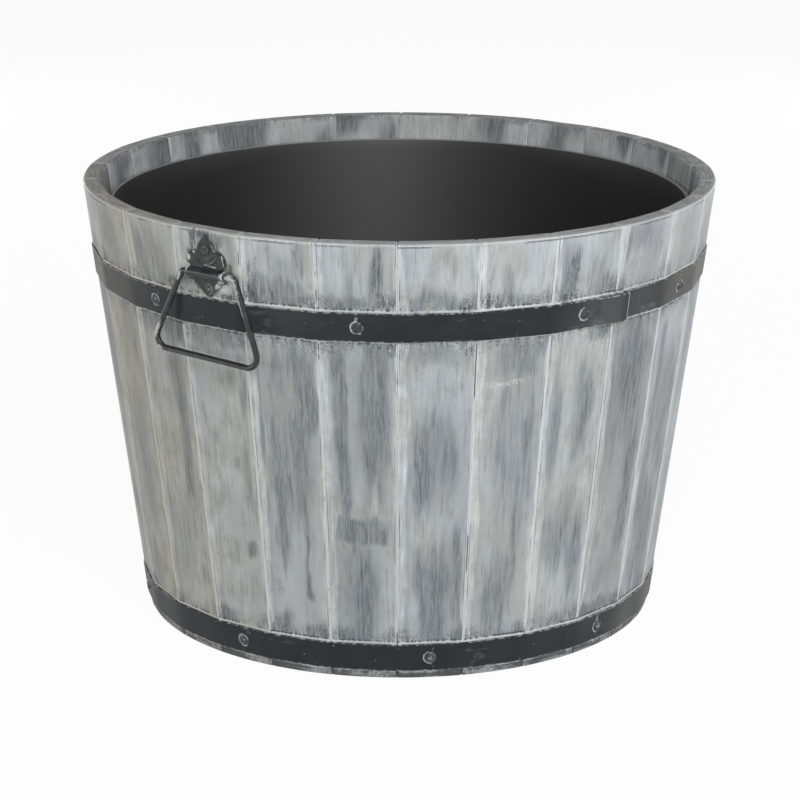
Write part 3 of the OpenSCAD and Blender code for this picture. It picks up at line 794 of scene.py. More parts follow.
def whitewashed_wood():
    """Wash over blue-grey stain, thick in the joints and against the hoops."""
    finish = Finish("whitewashed_wood", {"Specular IOR Level": 0.3})
    board, edges = finish.vector("board"), finish.vector("edges")
    left, right, rim = (edges.part(axis) for axis in "XYZ")
    hoop, worn, crack = (finish.number(label) for label in ("hoop", "worn", "crack"))
    edge = least(left, right)

    # Noise round 0: cells in a metre across, along and from board to board, detail and roughness
    hair, brush, blotch, speck, ragged, slow = (board.noise(*kind) - 0.5 for kind in (
        ((880, 50, 7.3), 2.0, 0.6), ((400, 26, 3.1), 2.0, 0.5), ((85, 55, 5.7), 4.0, 0.6),
        ((1000, 1000, 9.1), 2.0, 0.6), ((520, 150, 2.2), 3.0, 0.65), ((24, 16, 11.3), 2.0, 0.5),
    ))

    # How far the stain shows: worn places, less the clean margin at each joint, more in the hoops' fringe
    swayed = left + slow * 0.014 + brush * 0.003
    on_right = (right + slow * 0.008 + brush * 0.003).step(0.0010, 0.0030)
    margin = most(1 - swayed.step(0.0042, 0.0060), 1 - on_right)
    beyond = swayed.step(0.0048, 0.0062) * swayed.step(0.0120, 0.0064)
    corner = edge.step(0.012, 0.002)
    near_hoop = (hoop + ragged * 0.03 + slow * 0.02 - corner * 0.006).step(0.013, 0.001)
    fringe = hoop.step(0.0009, 0.0022) * near_hoop
    fringe = fringe * (speck + ragged * 1.2 + slow * 0.8 + corner * 0.1).step(-0.12, 0.16)
    marks = finish.vector("marks")
    smudge, end, back = (marks.part(axis) for axis in "XYZ")
    foot = (board.part("Y") + ragged * 0.003).step(0.0075, 0.0055)
    smears = foot * (board.noise((36, 150, 6.1), 3.0, 0.6) + slow * 0.5).step(0.45, 0.56)
    streaks = hair * 4.4 + brush * 2.2 + blotch * 1.4
    bare = worn * (1.2 + streaks) + blotch * 0.45 + slow * 0.4 + speck * 0.12 + beyond * 0.12
    bare = bare * (1 - margin * (0.85 - back * 0.7)) + fringe * 0.6 + foot * 0.25
    stain_share = bare.step(0.12, 0.86)

    # Wash and stain, each in two shades, and specks of grime on both
    wash = (slow + blotch * 0.5).step(-0.12, 0.12).mix(paint(165, 169, 167), paint(169, 174, 178))
    high = board.part("Y").step(0.262, 0.285)
    wash = wash.times(1 + brush * 0.6 + blotch * 0.9 + speck * 0.35 + margin * 0.13 + high * 0.07)
    stain = (hair + blotch * 0.5).step(-0.16, 0.16).mix(paint(94, 100, 104), paint(126, 132, 136))
    colour = stain_share.mix(wash, stain).times(1 + hair * (0.65 + worn * 1.2))
    grime = (speck + (worn - 0.4) * 0.2).step(0.19, 0.26) * 0.3
    colour = grime.mix(colour, paint(92, 95, 98))

    # Thick white wash: daubs, the ridge along a hoop, the filled joint and the rubbed arris
    daub = (0 - smudge * (1 + speck * 5.0 + ragged * 2.0)).step(0.2, 0.6) * 0.7
    smudge = smudge * (1 + hair * 5.0 + ragged * 6.0 + speck * 3.0)
    torn_hoop = hoop + ragged * 0.003
    ridge = hoop.step(-0.0008, 0.0) * torn_hoop.step(0.0018, 0.0009)
    ridge = ridge * (slow + ragged * 0.5).step(-0.22, -0.04)
    rough_edge = edge + speck * 0.0006
    line = rough_edge.step(0.00105, 0.0006) * (1 - back * 0.75) * (1 - foot)
    arris = (rim + ragged * 0.002).step(0.0022, 0.0008) * 0.4
    white = most(line * 0.9, ridge * 0.9, most(arris, daub))
    colour = white.mix(colour, paint(204, 208, 208))

    # End grain on the sawn ends
    grain = board.noise((60, 700, 4.4), 3.0, 0.65) - 0.5
    sawn = (grain + speck * 0.4).step(-0.16, 0.16).mix(paint(130, 131, 130), paint(187, 188, 186))
    colour = (end * (1 - arris * 0.8) * 0.85).mix(colour, sawn)

    # Dark lines and grime: a painted shadow next to the joints, a line along the hoops' edges that is partly
    # painted shadow of the strap, a line under the rim, and darkness in open joints and in smears
    # A thin dark line next to each joint is a painted shadow of the raised white joint
    joint_shadow = edge.step(0.0009, 0.00125) * edge.step(0.002, 0.0014)
    joint_shadow = joint_shadow * board.noise((9, 34, 2.7), 2.0).step(0.5, 0.6) * 0.5
    # A dark line along both edges of each hoop: partly cracks in the wash, partly painted shadow of the
    # strap
    under = torn_hoop.step(0.0012, 0.0017) * torn_hoop.step(0.0034, 0.0023)
    under = under * (ragged + slow).step(-0.02, 0.1) * 0.75
    wavy = rim + ragged * 0.0012
    below_rim = wavy.step(0.0012, 0.0017) * wavy.step(0.0031, 0.0021)
    below_rim = below_rim * (speck + slow * 2.0).step(0.02, 0.14) * (1 - end) * 0.6
    inner = (rim + ragged * 0.012).step(1.0055, 1.001) * back * (ragged + slow).step(-0.04, 0.1) * 0.55
    dashes = board.noise((3, 210, 2.7), 2.0).step(0.62, 0.68) * edge.step(0.0004, 0.0001)
    slit = crack * rough_edge.step(0.0006, 0.0002)
    foot_joint = foot * (edge + speck * 0.001).step(0.0016, 0.0007)
    dark = most(
        joint_shadow, under, below_rim, dashes * 0.6, slit * 0.65, smudge.step(0.12, 0.85) * 0.72, inner,
        smears * 0.8, foot_joint * 0.9,
    )
    colour = dark.mix(colour, paint(54, 56, 58)).times(finish.vector("tint"))
    height = (1 - stain_share) * 0.3 + hair * 0.35 + brush * 0.25 + white * 0.5 - dark * 0.6
    return finish.made(colour, 0.62 - stain_share * 0.1 + hair * 0.1, height, 0.3 * MM)


coat(staves, whitewashed_wood())

# %% [markdown]
# A hoop is one length of steel strap, bent at every joint between staves and screwed down where its ends
# overlap. Its section is a flat rectangle with slightly rolled edges. Carried round a 26-sided path it would
# have knife-sharp bends, so each corner of the path is an arc of a circle that touches both flats.

# %% A strap's path
STEPS_PER_STAVE = 16
BEND_SPREAD, BEND_STEPS = 0.6, 9
LAP_STEP = math.radians(0.8)
LAP_SPREAD, LAP_STEPS = 1.5, 13
END_STEPS_MM = np.array([0.15, 0.3, 0.5, 0.8, 1.2])


def strap_distance(apothem, off_middle, bend):
    """Distance from the axis of a flat-sided ring with rounded corners, at an angle from a flat's middle.

    On the flat it is the apothem over the cosine. Near a corner it is the far side of a circle of the bend's
    radius, whose middle lies on the corner's line: c cos d + sqrt(r^2 - c^2 sin^2 d).
    """
    centre = (apothem - bend) / math.cos(pitch / 2)
    from_corner = pitch / 2 - np.abs(off_middle)
    flat = apothem / np.cos(off_middle)
    inside = np.clip(bend**2 - (centre * np.sin(from_corner)) ** 2, 0, None)
    arc = centre * np.cos(from_corner) + np.sqrt(inside)
    on_flat = np.tan(np.abs(off_middle)) < half_slope * (1 - bend / apothem)
    return np.where(on_flat, flat, arc)


def strap_angles(start, end):
    """Angles along a strap: even steps, with more of them at each bend and at the step of the lap."""
    even = np.linspace(start, end, int((end - start) / pitch * STEPS_PER_STAVE))
    bends = (np.arange(math.floor(start / pitch), math.ceil(end / pitch) + 1) + 0.5) * pitch
    close = (bends[:, None] + np.radians(np.linspace(-BEND_SPREAD, BEND_SPREAD, BEND_STEPS))).ravel()
    step = start + 2 * math.pi + np.linspace(-LAP_SPREAD, LAP_SPREAD, LAP_STEPS) * LAP_STEP
    last = end - END_STEPS_MM * MM / rim_out
    every = np.concatenate([even, close, step, last])
    return np.unique(every[(every >= start) & (every <= end)].round(7))


print("a strap once round the tub has", len(strap_angles(0.0, 2 * math.pi)), "rings")

# %% Make the straps
BENDS = {"upper_hoop": 45 * MM, "lower_hoop": 95 * MM}
STRAP_EDGE = 0.35 * MM
STRAP_SIDES = (14, 2, 18, 2)
RISE_FROM, RISE_TO = 1.2, 0.1
LAP_STAGGER = 1.0 * MM
LAP_EXTRA = 4.5 * MM
STAGGER_REACH = 0.6
PINCH, PINCH_REACH = 0.3 * MM, 0.5 * MM
# How brown each strap is, from 0 to 1, at a few staves round the tub: brown paint in places, and a painted
# sheen towards the sides of the view
BROWN_AND_SHEEN = {
    "upper_hoop": [(0, 0.5), (5, 0.2), (10, 0.75), (11, 0.6), (12, 0.25), (13, 0.0), (14, 0.2), (15, 0.25),
                   (16, 0.0), (17.5, 0.2), (18.55, 0.45), (18.65, 0.25), (19.4, 0.35), (20, 1.0), (26, 0.5)],
    "lower_hoop": [(0, 0.4), (6, 0.2), (11, 0.3), (12, 0.15), (13, 0.0), (17, 0.1), (19, 0.2), (20, 0.5),
                   (26, 0.4)],
}


def strap_shape(node):
    """Rings of a strap from its inner end, once round, and over its own start to its outer end.

    The two ends of a hand-fitted strap never quite line up, so its inner end lies a little high and its
    outer end a little low, each by e^(-angle from that end / reach).
    """
    lap_start, lap_end = hoop_laps[node]
    face, half = outer_face(hoop_z[node]), HOOP_W / 2
    lap_end = lap_end + LAP_EXTRA / face
    start = lap_start + LAP_STEP / 2 - 2 * math.pi
    over = start + 2 * math.pi
    angles = strap_angles(start, lap_end)
    from_start, to_end = angles - angles[0], angles[-1] - angles
    rise = soft_step(angles, over - RISE_FROM * LAP_STEP, over - RISE_TO * LAP_STEP)
    lift = HOOP_SEAT + (HOOP_T + HOOP_SEAT) * rise
    stagger = LAP_STAGGER / 2 * (np.exp(-from_start / STAGGER_REACH) - np.exp(-to_end / STAGGER_REACH))
    pinch = PINCH * (1 - soft_step(np.minimum(from_start, to_end) * face, 0, PINCH_REACH))
    section = soft_rectangle(half, 0.0, HOOP_T, STRAP_EDGE, STRAP_SIDES)
    out = section[None, :, 1] + lift[:, None]
    across = section[None, :, 0] * (1 - pinch[:, None] / half)
    placed_across = across + stagger[:, None]
    up = placed_across * math.cos(lean)
    off_middle = angles - pitch * np.round(angles / pitch)
    distance = strap_distance(
        outer_face(hoop_z[node] + up) + out * math.cos(lean), off_middle[:, None], BENDS[node])
    rings = around_axis(distance, angles[:, None], hoop_z[node] + up - out * math.sin(lean))

    screw_angles = np.array(hoop_screws[node]) * pitch
    away = (angles[:, None] - screw_angles[None, :] + math.pi) % (2 * math.pi) - math.pi
    nearest = away[np.arange(len(angles)), np.abs(away).argmin(axis=1)] * face
    brown_and_sheen = np.interp((angles / pitch) % stave_count, *np.array(BROWN_AND_SHEEN[node]).T)
    ones = np.ones_like(across)
    return rings, {
        "strap": np.stack([(angles * face)[:, None] * ones, across, ones * HOOPS.index(node)], axis=2),
        "screw": np.stack([nearest[:, None] * ones, placed_across, 0 * ones], axis=2),
        "brown_and_sheen": brown_and_sheen[:, None] * ones,
        "to_end": (to_end * face)[:, None] * ones,
    }


hoops = []
for node in HOOPS:
    hoops.append(stands_for(ring_object("strap_" + node, strap_shape(node)), node))
    print(hoops[-1].name, len(hoops[-1].data.polygons), "faces")

# %% [markdown]
# The straps are painted charcoal and satin, browner in places and with a painted sheen towards the sides
# of the view: a faint cloudiness, hairline scratches, wash left in broken crescents round the screw heads,
# in wisps above and below them, and smeared along the edges and the strap's end. The crescents and the
# lines along the edges and the end are partly painted highlight.

# %% Painted steel


def hoop_steel():
    """Charcoal paint, browner in places, with a painted sheen at the sides of the view, and wash round the
    screws and along the edges that is partly painted highlight.
    """
    finish = Finish("hoop_steel", {"Specular IOR Level": 0.14})
    strap, screw = finish.vector("strap"), finish.vector("screw")
    across = strap.part("Y")
    cloud, slow, grit, broken = (strap.noise(*kind) - 0.5 for kind in (
        ((45, 70, 3.0), 4.0, 0.6), ((12, 10, 7.0), 2.0, 0.5), ((900, 900, 3.0), 2.0, 0.6),
        ((230, 210, 1.0), 3.0, 0.65),
    ))
    # The brown share is partly brown paint and partly a painted sheen towards the sides of the view
    brown = (finish.number("brown_and_sheen") + slow * 0.8).step(0.1, 0.9)
    colour = brown.mix(paint(41, 45, 48), paint(88, 87, 86))
    colour = colour.times(1 + cloud * 0.9 + grit * 0.5 + slow * 0.4)
    scratch = strap.noise((30, 1500, 1.0), 3.0, 0.7).step(0.67, 0.75)
    colour = (scratch * 0.25).mix(colour, paint(124, 126, 126))

    around = screw.length((1, 1, 0))
    # Pale crescents round the screw heads, kept to their left and lower side: partly wash, partly painted
    # highlight
    crescent = around.step(0.0038, 0.0041) * (around + grit * 0.002).step(0.0050, 0.0044)
    side = screw.part("X") * 40 + screw.part("Y") * 12
    crescent = crescent * (broken * 0.8 + slow * 0.6 - side).step(-0.06, 0.08)
    wisp = screw.length((1.6, 0.75, 0)).step(0.008, 0.003)
    wisp = wisp * broken.step(0.06, 0.16) * 0.5
    # Pale lines along the strap's edges: partly wash, partly painted highlight
    edge_wash_and_highlight = (across.math("ABSOLUTE", across) + broken * 0.001).step(0.0088, 0.0096)
    edge_wash_and_highlight = edge_wash_and_highlight * (broken + slow * 0.5).step(-0.04, 0.08) * 0.5
    # A pale line along the strap's outer end: partly wash, partly painted highlight
    end = (finish.number("to_end") + grit * 0.0008).step(0.0011, 0.0005)
    speck = strap.noise((330, 330, 5.0), 1.0, 0.5).step(0.76, 0.8) * 0.45
    smear = (strap.noise((28, 60, 9.0), 4.0, 0.7) + slow * 0.5).step(0.6, 0.72) * 0.4
    colour = smear.mix(colour, paint(104, 112, 120))
    # Wash here includes the painted highlight of the crescents and of the lines along the edges and the end
    wash = most(crescent * 0.85, wisp, edge_wash_and_highlight, end * 0.5, speck)
    colour = wash.mix(colour, paint(192, 196, 197))
    height = cloud * 0.5 + grit * 0.2 + wash * 0.5 - scratch * 0.2
    return finish.made(colour, 0.46 + cloud * 0.25 + wash * 0.25 + brown * 0.08, height, 0.12 * MM)


coat(hoops, hoop_steel())

# %% [markdown]
# The screws have low domed heads with a cross recess. Each head is a height above its seat, a slice of a
# sphere less the depth of the cross, over rings that shrink towards the middle. The shank and the point are
# rings as well, so a whole screw is one shell, and a set of screws is a few shells in one object.

# %% Domed screws
AROUND_SCREW = 48
DOME_SHARES = np.array([*np.linspace(0.03, 0.97, 30), 0.985, 1.0])
HEAD_LIP = 0.25 * MM
LIP_TOP, DOME_FOOT = 0.3 * HEAD_LIP, 0.6 * HEAD_LIP
POINT_R = 0.02 * MM
# The cross, in head diameters: half the length and half the width of an arm, and its depth
RECESS_LENGTH, RECESS_WIDTH = 0.3, 0.085
RECESS_DEPTH = 1.1 * RECESS_WIDTH
RECESS_EDGE = 0.12 * MM
SCREW_SHARP = math.radians(50)


def screw_shape(head_d, head_h, shank_d, length):
    """Rings of a screw along z with its head's seat on z = 0, and the numbers that its finish reads.

    The dome is h - R + sqrt(R^2 - r^2), where R = (r0^2 + h^2) / 2 h is the radius of the sphere through the
    head's rim and top. The recess is lowered where a point lies in one arm of the cross.
    """
    head_r, shank_r = head_d / 2, shank_d / 2
    sphere_r = (head_r**2 + head_h**2) / (2 * head_h)
    dome_r = DOME_SHARES * head_r
    dome_z = head_h - sphere_r + np.sqrt(np.clip(sphere_r**2 - dome_r**2, 0, None))
    dome_z = DOME_FOOT + dome_z * (1 - DOME_FOOT / head_h)
    radii = np.concatenate([[POINT_R, shank_r, shank_r, head_r - HEAD_LIP / 2, head_r], dome_r[::-1]])
    heights = np.concatenate([[-length, 2 * shank_r - length, 0.0, 0.0, LIP_TOP], dome_z[::-1]])
    rings = revolved(np.stack([radii, heights], axis=1), AROUND_SCREW)
    x, y = rings[:, :, 0], rings[:, :, 1]
    u, v = (x + y) / math.sqrt(2), (x - y) / math.sqrt(2)
    long, wide = RECESS_LENGTH * head_d, RECESS_WIDTH * head_d
    arms = [
        soft_box(a, -long, long, RECESS_EDGE) * soft_box(b, -wide, wide, RECESS_EDGE)
        for a, b in ((u, v), (v, u))
    ]
    recess = np.maximum(*arms) * (heights > HEAD_LIP)[:, None]
    rings[:, :, 2] -= RECESS_DEPTH * head_d * recess
    return rings, {"radius": np.hypot(x, y) / head_r, "recess": recess}


def stave_frame(index, z):
    """Matrix from a place on a stave (x across, y up the stave, z out of its face) to the tub's frame."""
    angle = index * pitch
    outward = Vector(around_axis(math.cos(lean), angle, -math.sin(lean)))
    sideways = Vector((-math.sin(angle), math.cos(angle), 0))
    made = Matrix((sideways, outward.cross(sideways), outward)).transposed().to_4x4()
    made.translation = Vector(around_axis(outer_face(z), angle, z))
    return made


def placed(rings, matrix, shift=(0, 0, 0), spin=0.0):
    """Rings spun about their own z, moved by shift, and set in the tub's frame."""
    m = np.array(matrix)
    return (turned(rings, spin) + np.array(shift)) @ m[:3, :3].T + m[:3, 3]


def screw_set(node, places, sizes, seed):
    """One object for all the screws of a CAD node: places is a list of (matrix, shift)."""
    draw = np.random.default_rng(seed)
    shape, numbers = screw_shape(*sizes)
    shells = [(placed(shape, matrix, shift, draw.uniform(0, math.pi)), numbers) for matrix, shift in places]
    piece = stands_for(ring_object("domed_" + node, *shells), node)
    piece.data.set_sharp_from_angle(angle=SCREW_SHARP)
    print(node, len(places))
    return piece


# Head's width and height, and the shank's width
HOOP_HEAD = (8 * MM, 1.8 * MM, 3.5 * MM)
# The upper screws stop in the stave. The lower ones go through it and a small gap into a base board
SCREW_DEPTHS = {"upper_hoop": 9.5 * MM, "lower_hoop": 8 * MM + 0.2 * MM + 12 * MM}
head_lift = HOOP_T + HOOP_SEAT
screws = []
for node in HOOPS:
    spots = [(stave_frame(index, hoop_z[node]), (0, 0, head_lift)) for index in hoop_screws[node]]
    sizes = (*HOOP_HEAD, SCREW_DEPTHS[node] + head_lift)
    screws.append(screw_set(node + "_screws", spots, sizes, len(node)))

# %% [markdown]
# The liner is moulded plastic: a tub with a plain rounded rim, a round lower edge and drain holes. Its wall
# is one closed outline, from the axis out under the floor, up the outside, over the rim and back down the
# inside. Spun round the axis it is a surface of two parameters. The drain holes are cut with cylinders.

# %% A path with rounded corners


def rounded_path(corners, radii, steps, spacing=None):
    """Points along straight runs joined by round bends, in the plane or in space.

    A bend of radius r that turns by t starts r tan(t / 2) before its corner and ends as far after it, and
    its middle lies r / cos(t / 2) from the corner. With a spacing, long runs get points that far apart.
    """
    corners = np.asarray(corners, float)
    heading = unit(np.diff(corners, axis=0))
    points = [corners[:1]]
    for k in range(1, len(corners) - 1):
        before, after = heading[k - 1], heading[k]
        turn_by = math.acos(np.clip(before @ after, -1, 1))
        middle = corners[k] + unit(after - before) * radii[k] / math.cos(turn_by / 2)
        start = corners[k] - before * (radii[k] * math.tan(turn_by / 2))
        s = np.linspace(0, turn_by, steps + 1)[:, None]
        points.append(middle + (start - middle) * np.cos(s) + before * radii[k] * np.sin(s))
    points.append(corners[-1:])
    if spacing:
        filled = points[:1]
        for part in points[1:]:
            last, run = filled[-1][-1], part[0] - filled[-1][-1]
            extra = np.linspace(0, 1, max(2, int(np.linalg.norm(run) / spacing) + 1))[1:-1, None]
            filled += [last + run * extra, part]
        points = filled
    return np.concatenate(points)


print("rounded path helper ready")

# %% The liner
LINER_WALL = 2 * MM
LINER_FLOOR = 2.5 * MM
LINER_EDGE = 9 * MM
LINER_RIM_ROUND = 0.7 * MM
LINER_FOOT_FIT = 5 * MM
LINER_STEPS, LINER_SPACING, AROUND_LINER = 6, 6 * MM, 240
LINER_SHARP = math.radians(55)
POLE_GAP = 0.4 * MM
DRAIN_D = 10 * MM
DRAIN_RING = 95 * MM
DRAIN_COUNT = 6
CUTTER_R, CUTTER_DOWN, CUTTER_UP, AROUND_CUTTER = 0.1 * MM, 3 * MM, 6 * MM, 40
liner_low, liner_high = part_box("liner")
floor_z, liner_rim_z, liner_top_r = liner_low.z, liner_high.z, liner_high.x


def liner_outline():
    """The wall's closed outline, from the axis under the floor to the axis on top of the floor."""
    foot_r = inner_face(floor_z) - LINER_FOOT_FIT
    flare = math.atan((liner_top_r - foot_r) / (liner_rim_z - floor_z))
    wall_in = LINER_WALL / math.cos(flare)
    inner_foot = foot_r + LINER_FLOOR * math.tan(flare) - wall_in
    floor_top = floor_z + LINER_FLOOR
    corners = [
        (0.0, floor_z), (foot_r, floor_z), (liner_top_r, liner_rim_z),
        (liner_top_r - wall_in, liner_rim_z), (inner_foot, floor_top), (0.0, floor_top),
    ]
    radii = [0, LINER_EDGE, LINER_RIM_ROUND, LINER_RIM_ROUND, LINER_EDGE - LINER_WALL, 0]
    path = rounded_path(corners, radii, LINER_STEPS, spacing=LINER_SPACING)
    path[[0, -1], 0] = POLE_GAP
    return path


def drain_cutter():
    """One peg on the axis and a ring of them round it, through the liner's floor."""
    low, high = floor_z - CUTTER_DOWN, floor_z + CUTTER_UP
    outline = [(CUTTER_R, low), (DRAIN_D / 2, low), (DRAIN_D / 2, high), (CUTTER_R, high)]
    peg = revolved(np.array(outline), AROUND_CUTTER)
    angles = np.arange(1, DRAIN_COUNT + 1) * 2 * math.pi / DRAIN_COUNT
    places = np.concatenate([np.zeros((1, 3)), around_axis(DRAIN_RING, angles, 0)])
    return ring_object("drain_cutter", *((peg + place, {}) for place in places))


tub_liner = ring_object("moulded_liner", (revolved(liner_outline(), AROUND_LINER), {}))
cutter = drain_cutter()
cut = tub_liner.modifiers.new("drain_holes", "BOOLEAN")
cut.operation, cut.solver, cut.object = "DIFFERENCE", "EXACT", cutter
bpy.context.view_layer.objects.active = tub_liner
bpy.ops.object.modifier_apply(modifier=cut.name)
bpy.data.objects.remove(cutter)
tub_liner.data.set_sharp_from_angle(angle=LINER_SHARP)
stands_for(tub_liner, "liner", body="liner")
print("liner faces:", len(tub_liner.data.polygons))

# %% [markdown]
# A handle hangs from a stamped plate. The plate is sheet steel: an upper half with a pointed tip and two
# round lobes, a lower half that tapers to a chin, and a barrel pressed up between them for the wire to turn
# in. Drawing such an outline point by point is slow to change. Here it is the far side of a row of discs,
# seen from a point inside, which gives its radius at every angle.

# %% The handle plate's outline
SHEET = 1.0 * MM
PLATE_W = 32 * MM
BARREL_L = 30 * MM
WIRE_R = 2 * MM
WIRE_OUT = WIRE_R + 0.3 * MM
BARREL_R = WIRE_R + 0.1 * MM + SHEET
TIP_UP, TIP_R = 25.8 * MM, 1.6 * MM
CHIN_DOWN, CHIN_R = 16.4 * MM, 4.6 * MM
LOBE_UP, LOBE_R = 8.4 * MM, 7.2 * MM
SHOULDER_DOWN, SHOULDER_R = 2.6 * MM, 1 * MM
UPPER_SCREW_UP = 15 * MM
LOWER_SCREW_DOWN = 10.4 * MM
SCREW_BED_R = 7 * MM
UPPER_CENTRE, LOWER_CENTRE = (0.0, 10 * MM), (0.0, -6 * MM)
SMOOTHED_OVER = 9
PLATE_STEPS = 180
TIP_DISCS, LOBE_DISCS = 40, 20
hinges = {joint["child"]: Vector(joint["pos_m"]) for joint in frame["joints"] if joint["type"] == "hinge"}
handle_z = hinges["left_handle"].z + WIRE_OUT * math.sin(lean)
handle_staves = {"left": stave_count // 2, "right": 0}


def disc_row(start, end, count):
    """Discs (x, y, radius) in even steps from one disc to another: together they fill a tapered bar."""
    share = np.linspace(0, 1, count)[:, None]
    return np.array(start) * (1 - share) + np.array(end) * share


def outline_radius(centre, discs, angles):
    """Distance from a centre to the far side of the farthest disc, at each angle.

    A ray along d leaves a disc of radius r, whose middle is at o from the centre, at
    o.d + sqrt((o.d)^2 - o.o + r^2). The result is smoothed over a few degrees, which rounds inner corners.
    """
    middle = discs[:, :2] - np.array(centre)
    rays = np.stack([np.cos(angles), np.sin(angles)], axis=1)
    along = rays @ middle.T
    under = along**2 - (middle**2).sum(axis=1) + discs[:, 2] ** 2
    radius = np.where(under >= 0, along + np.sqrt(np.clip(under, 0, None)), 0).max(axis=1)
    window = np.hanning(SMOOTHED_OVER) / np.hanning(SMOOTHED_OVER).sum()
    return np.convolve(np.pad(radius, SMOOTHED_OVER // 2, mode="wrap"), window, mode="valid")


plate_angles = full_turn(PLATE_STEPS)
lobe_x, shoulder_x = PLATE_W / 2 - LOBE_R, BARREL_L / 2 - SHOULDER_R
upper_discs = np.concatenate([
    disc_row((0, TIP_UP - TIP_R, TIP_R), (0, UPPER_SCREW_UP, SCREW_BED_R), TIP_DISCS),
    disc_row((-lobe_x, LOBE_UP, LOBE_R), (lobe_x, LOBE_UP, LOBE_R), LOBE_DISCS),
])
lower_discs = np.concatenate([
    disc_row((side * shoulder_x, -SHOULDER_DOWN, SHOULDER_R), (0, CHIN_R - CHIN_DOWN, CHIN_R), TIP_DISCS)
    for side in (-1, 1)
])
print("plate outline from", len(upper_discs), "and", len(lower_discs), "discs")

# %% The plate's two halves
PLATE_EDGE = 0.32 * MM
FRONT_RINGS, BACK_SKIP, EDGE_RINGS = 40, 8, 4
INNERMOST = 0.04
LEVEL = 1e-6
BARREL_COVERS = 2.6 * MM
# Raised lines: height, how far from the edge or from the upper screw, and width
EDGE_BEAD = (0.38 * MM, 1.5 * MM, 0.6 * MM)
SCREW_BEAD = (0.42 * MM, 9.4 * MM, 0.5 * MM)
FLANK_BEAD = (0.25 * MM, 1.3 * MM, 0.6 * MM)
SEAT_DEPTH, SEAT_R, SEAT_EDGE = 0.15 * MM, 5.5 * MM, 1.2 * MM


def slab(centre, discs, relief, sign):
    """Rings of a flat sheet inside an outline, from the middle of its back round its edge to the front.

    The outline stops at a line across the plate, above (sign 1) or below (sign -1) the hinge line, where the
    barrel covers it. Each ring is the outline times a share, and the front is raised by a relief of x, y and
    the distance from the edge.
    """
    radius = outline_radius(centre, discs, plate_angles)
    fall = sign * np.sin(plate_angles)
    to_line = sign * (sign * BARREL_COVERS - centre[1])
    falling = fall < -LEVEL
    radius = np.minimum(radius, np.where(falling, to_line / np.where(falling, fall, -1.0), 1.0))
    shares = np.linspace(INNERMOST, 1, FRONT_RINGS)[:, None]
    turn = np.linspace(0, math.pi / 2, EDGE_RINGS)[1:]
    back = radius * shares[::BACK_SKIP][:-1]
    front = (radius - PLATE_EDGE) * shares[::-1]
    edge_reach = np.concatenate([[radius, radius], radius - PLATE_EDGE * (1 - np.cos(turn))[:, None]])
    reach = np.concatenate([back, edge_reach, front])
    z = np.concatenate([
        np.zeros(len(back)), [0.0, SHEET - PLATE_EDGE], SHEET - PLATE_EDGE * (1 - np.sin(turn)),
        np.full(len(front), SHEET),
    ])
    x, y = centre[0] + reach * np.cos(plate_angles), centre[1] + reach * np.sin(plate_angles)
    from_edge = radius - reach
    on_front = np.arange(len(z)) >= len(z) - len(front)
    return np.stack([x, y, z[:, None] + relief(x, y, from_edge) * on_front[:, None]], axis=2), from_edge


def bead(distance, height, middle, width):
    """A raised line: height e^(-((distance - middle) / width)^2)."""
    return height * np.exp(-(((distance - middle) / width) ** 2))


def upper_relief(x, y, from_edge):
    """A bead just inside the edge, a curved line pressed up under the screw, and the screw's seat."""
    from_screw = np.hypot(x, y - UPPER_SCREW_UP)
    rim = bead(from_edge, *EDGE_BEAD) * soft_step(y, 3 * MM, 7 * MM)
    line = bead(from_screw, *SCREW_BEAD) * soft_step(UPPER_SCREW_UP - y, 3 * MM, 6 * MM)
    return rim + line - SEAT_DEPTH * soft_step(SEAT_R - from_screw, 0, SEAT_EDGE)


def lower_relief(x, y, from_edge):
    """A softer bead along the tapering flanks."""
    return bead(from_edge, *FLANK_BEAD) * soft_step(-y, 4 * MM, 7 * MM)


print("the upper half has", len(slab(UPPER_CENTRE, upper_discs, upper_relief, 1)[0]), "rings")

# %% The plate's barrel, and the whole plate
BARREL_FOOT, BARREL_BEND = 6.0 * MM, 1.1 * MM
BARREL_EDGE = 0.3 * MM
BARREL_SUNK = 0.02 * MM
BARREL_STEPS, BARREL_SIDES = 10, (24, 2, 24, 2)
# Keeps the arch's two bends, each a quarter of a circle, from ending in the same point
ALMOST = 0.999
SAME_PLACE = 0.02 * MM
PLATE_SHARP = math.radians(60)


def barrel_rings():
    """A sheet carried over the wire: flat foot, bend, arch, bend and flat foot, open below for the wire.

    The section across the sheet is a soft rectangle as long as the barrel.
    """
    arch, half = BARREL_R - SHEET / 2, BARREL_L / 2
    foot_z = SHEET / 2 - BARREL_SUNK
    corners = [(-BARREL_FOOT, foot_z), (-arch, foot_z), (-arch, WIRE_OUT + arch),
               (arch, WIRE_OUT + arch), (arch, foot_z), (BARREL_FOOT, foot_z)]
    radii = [0, BARREL_BEND, arch * ALMOST, arch * ALMOST, BARREL_BEND, 0]
    path = rounded_path(corners, radii, BARREL_STEPS)
    apart = np.linalg.norm(np.diff(path, axis=0), axis=1) > SAME_PLACE
    path = path[np.concatenate([[True], apart])]
    heading = unit(np.gradient(path, axis=0))
    square = np.stack([-heading[:, 1], heading[:, 0]], axis=1)
    section = soft_rectangle(half, -SHEET / 2, SHEET / 2, BARREL_EDGE, BARREL_SIDES)
    x = np.broadcast_to(section[:, 0], (len(path), len(section)))
    yz = path[:, None, :] + square[:, None, :] * section[None, :, 1, None]
    return np.concatenate([x[:, :, None], yz], axis=2), half - np.abs(x)


def spot(x, y, side):
    """Places in a handle's own plane. The third part is 0 on the left handle and 1 on the right one."""
    return np.stack([x, y, np.full_like(x, side == "right")], axis=2)


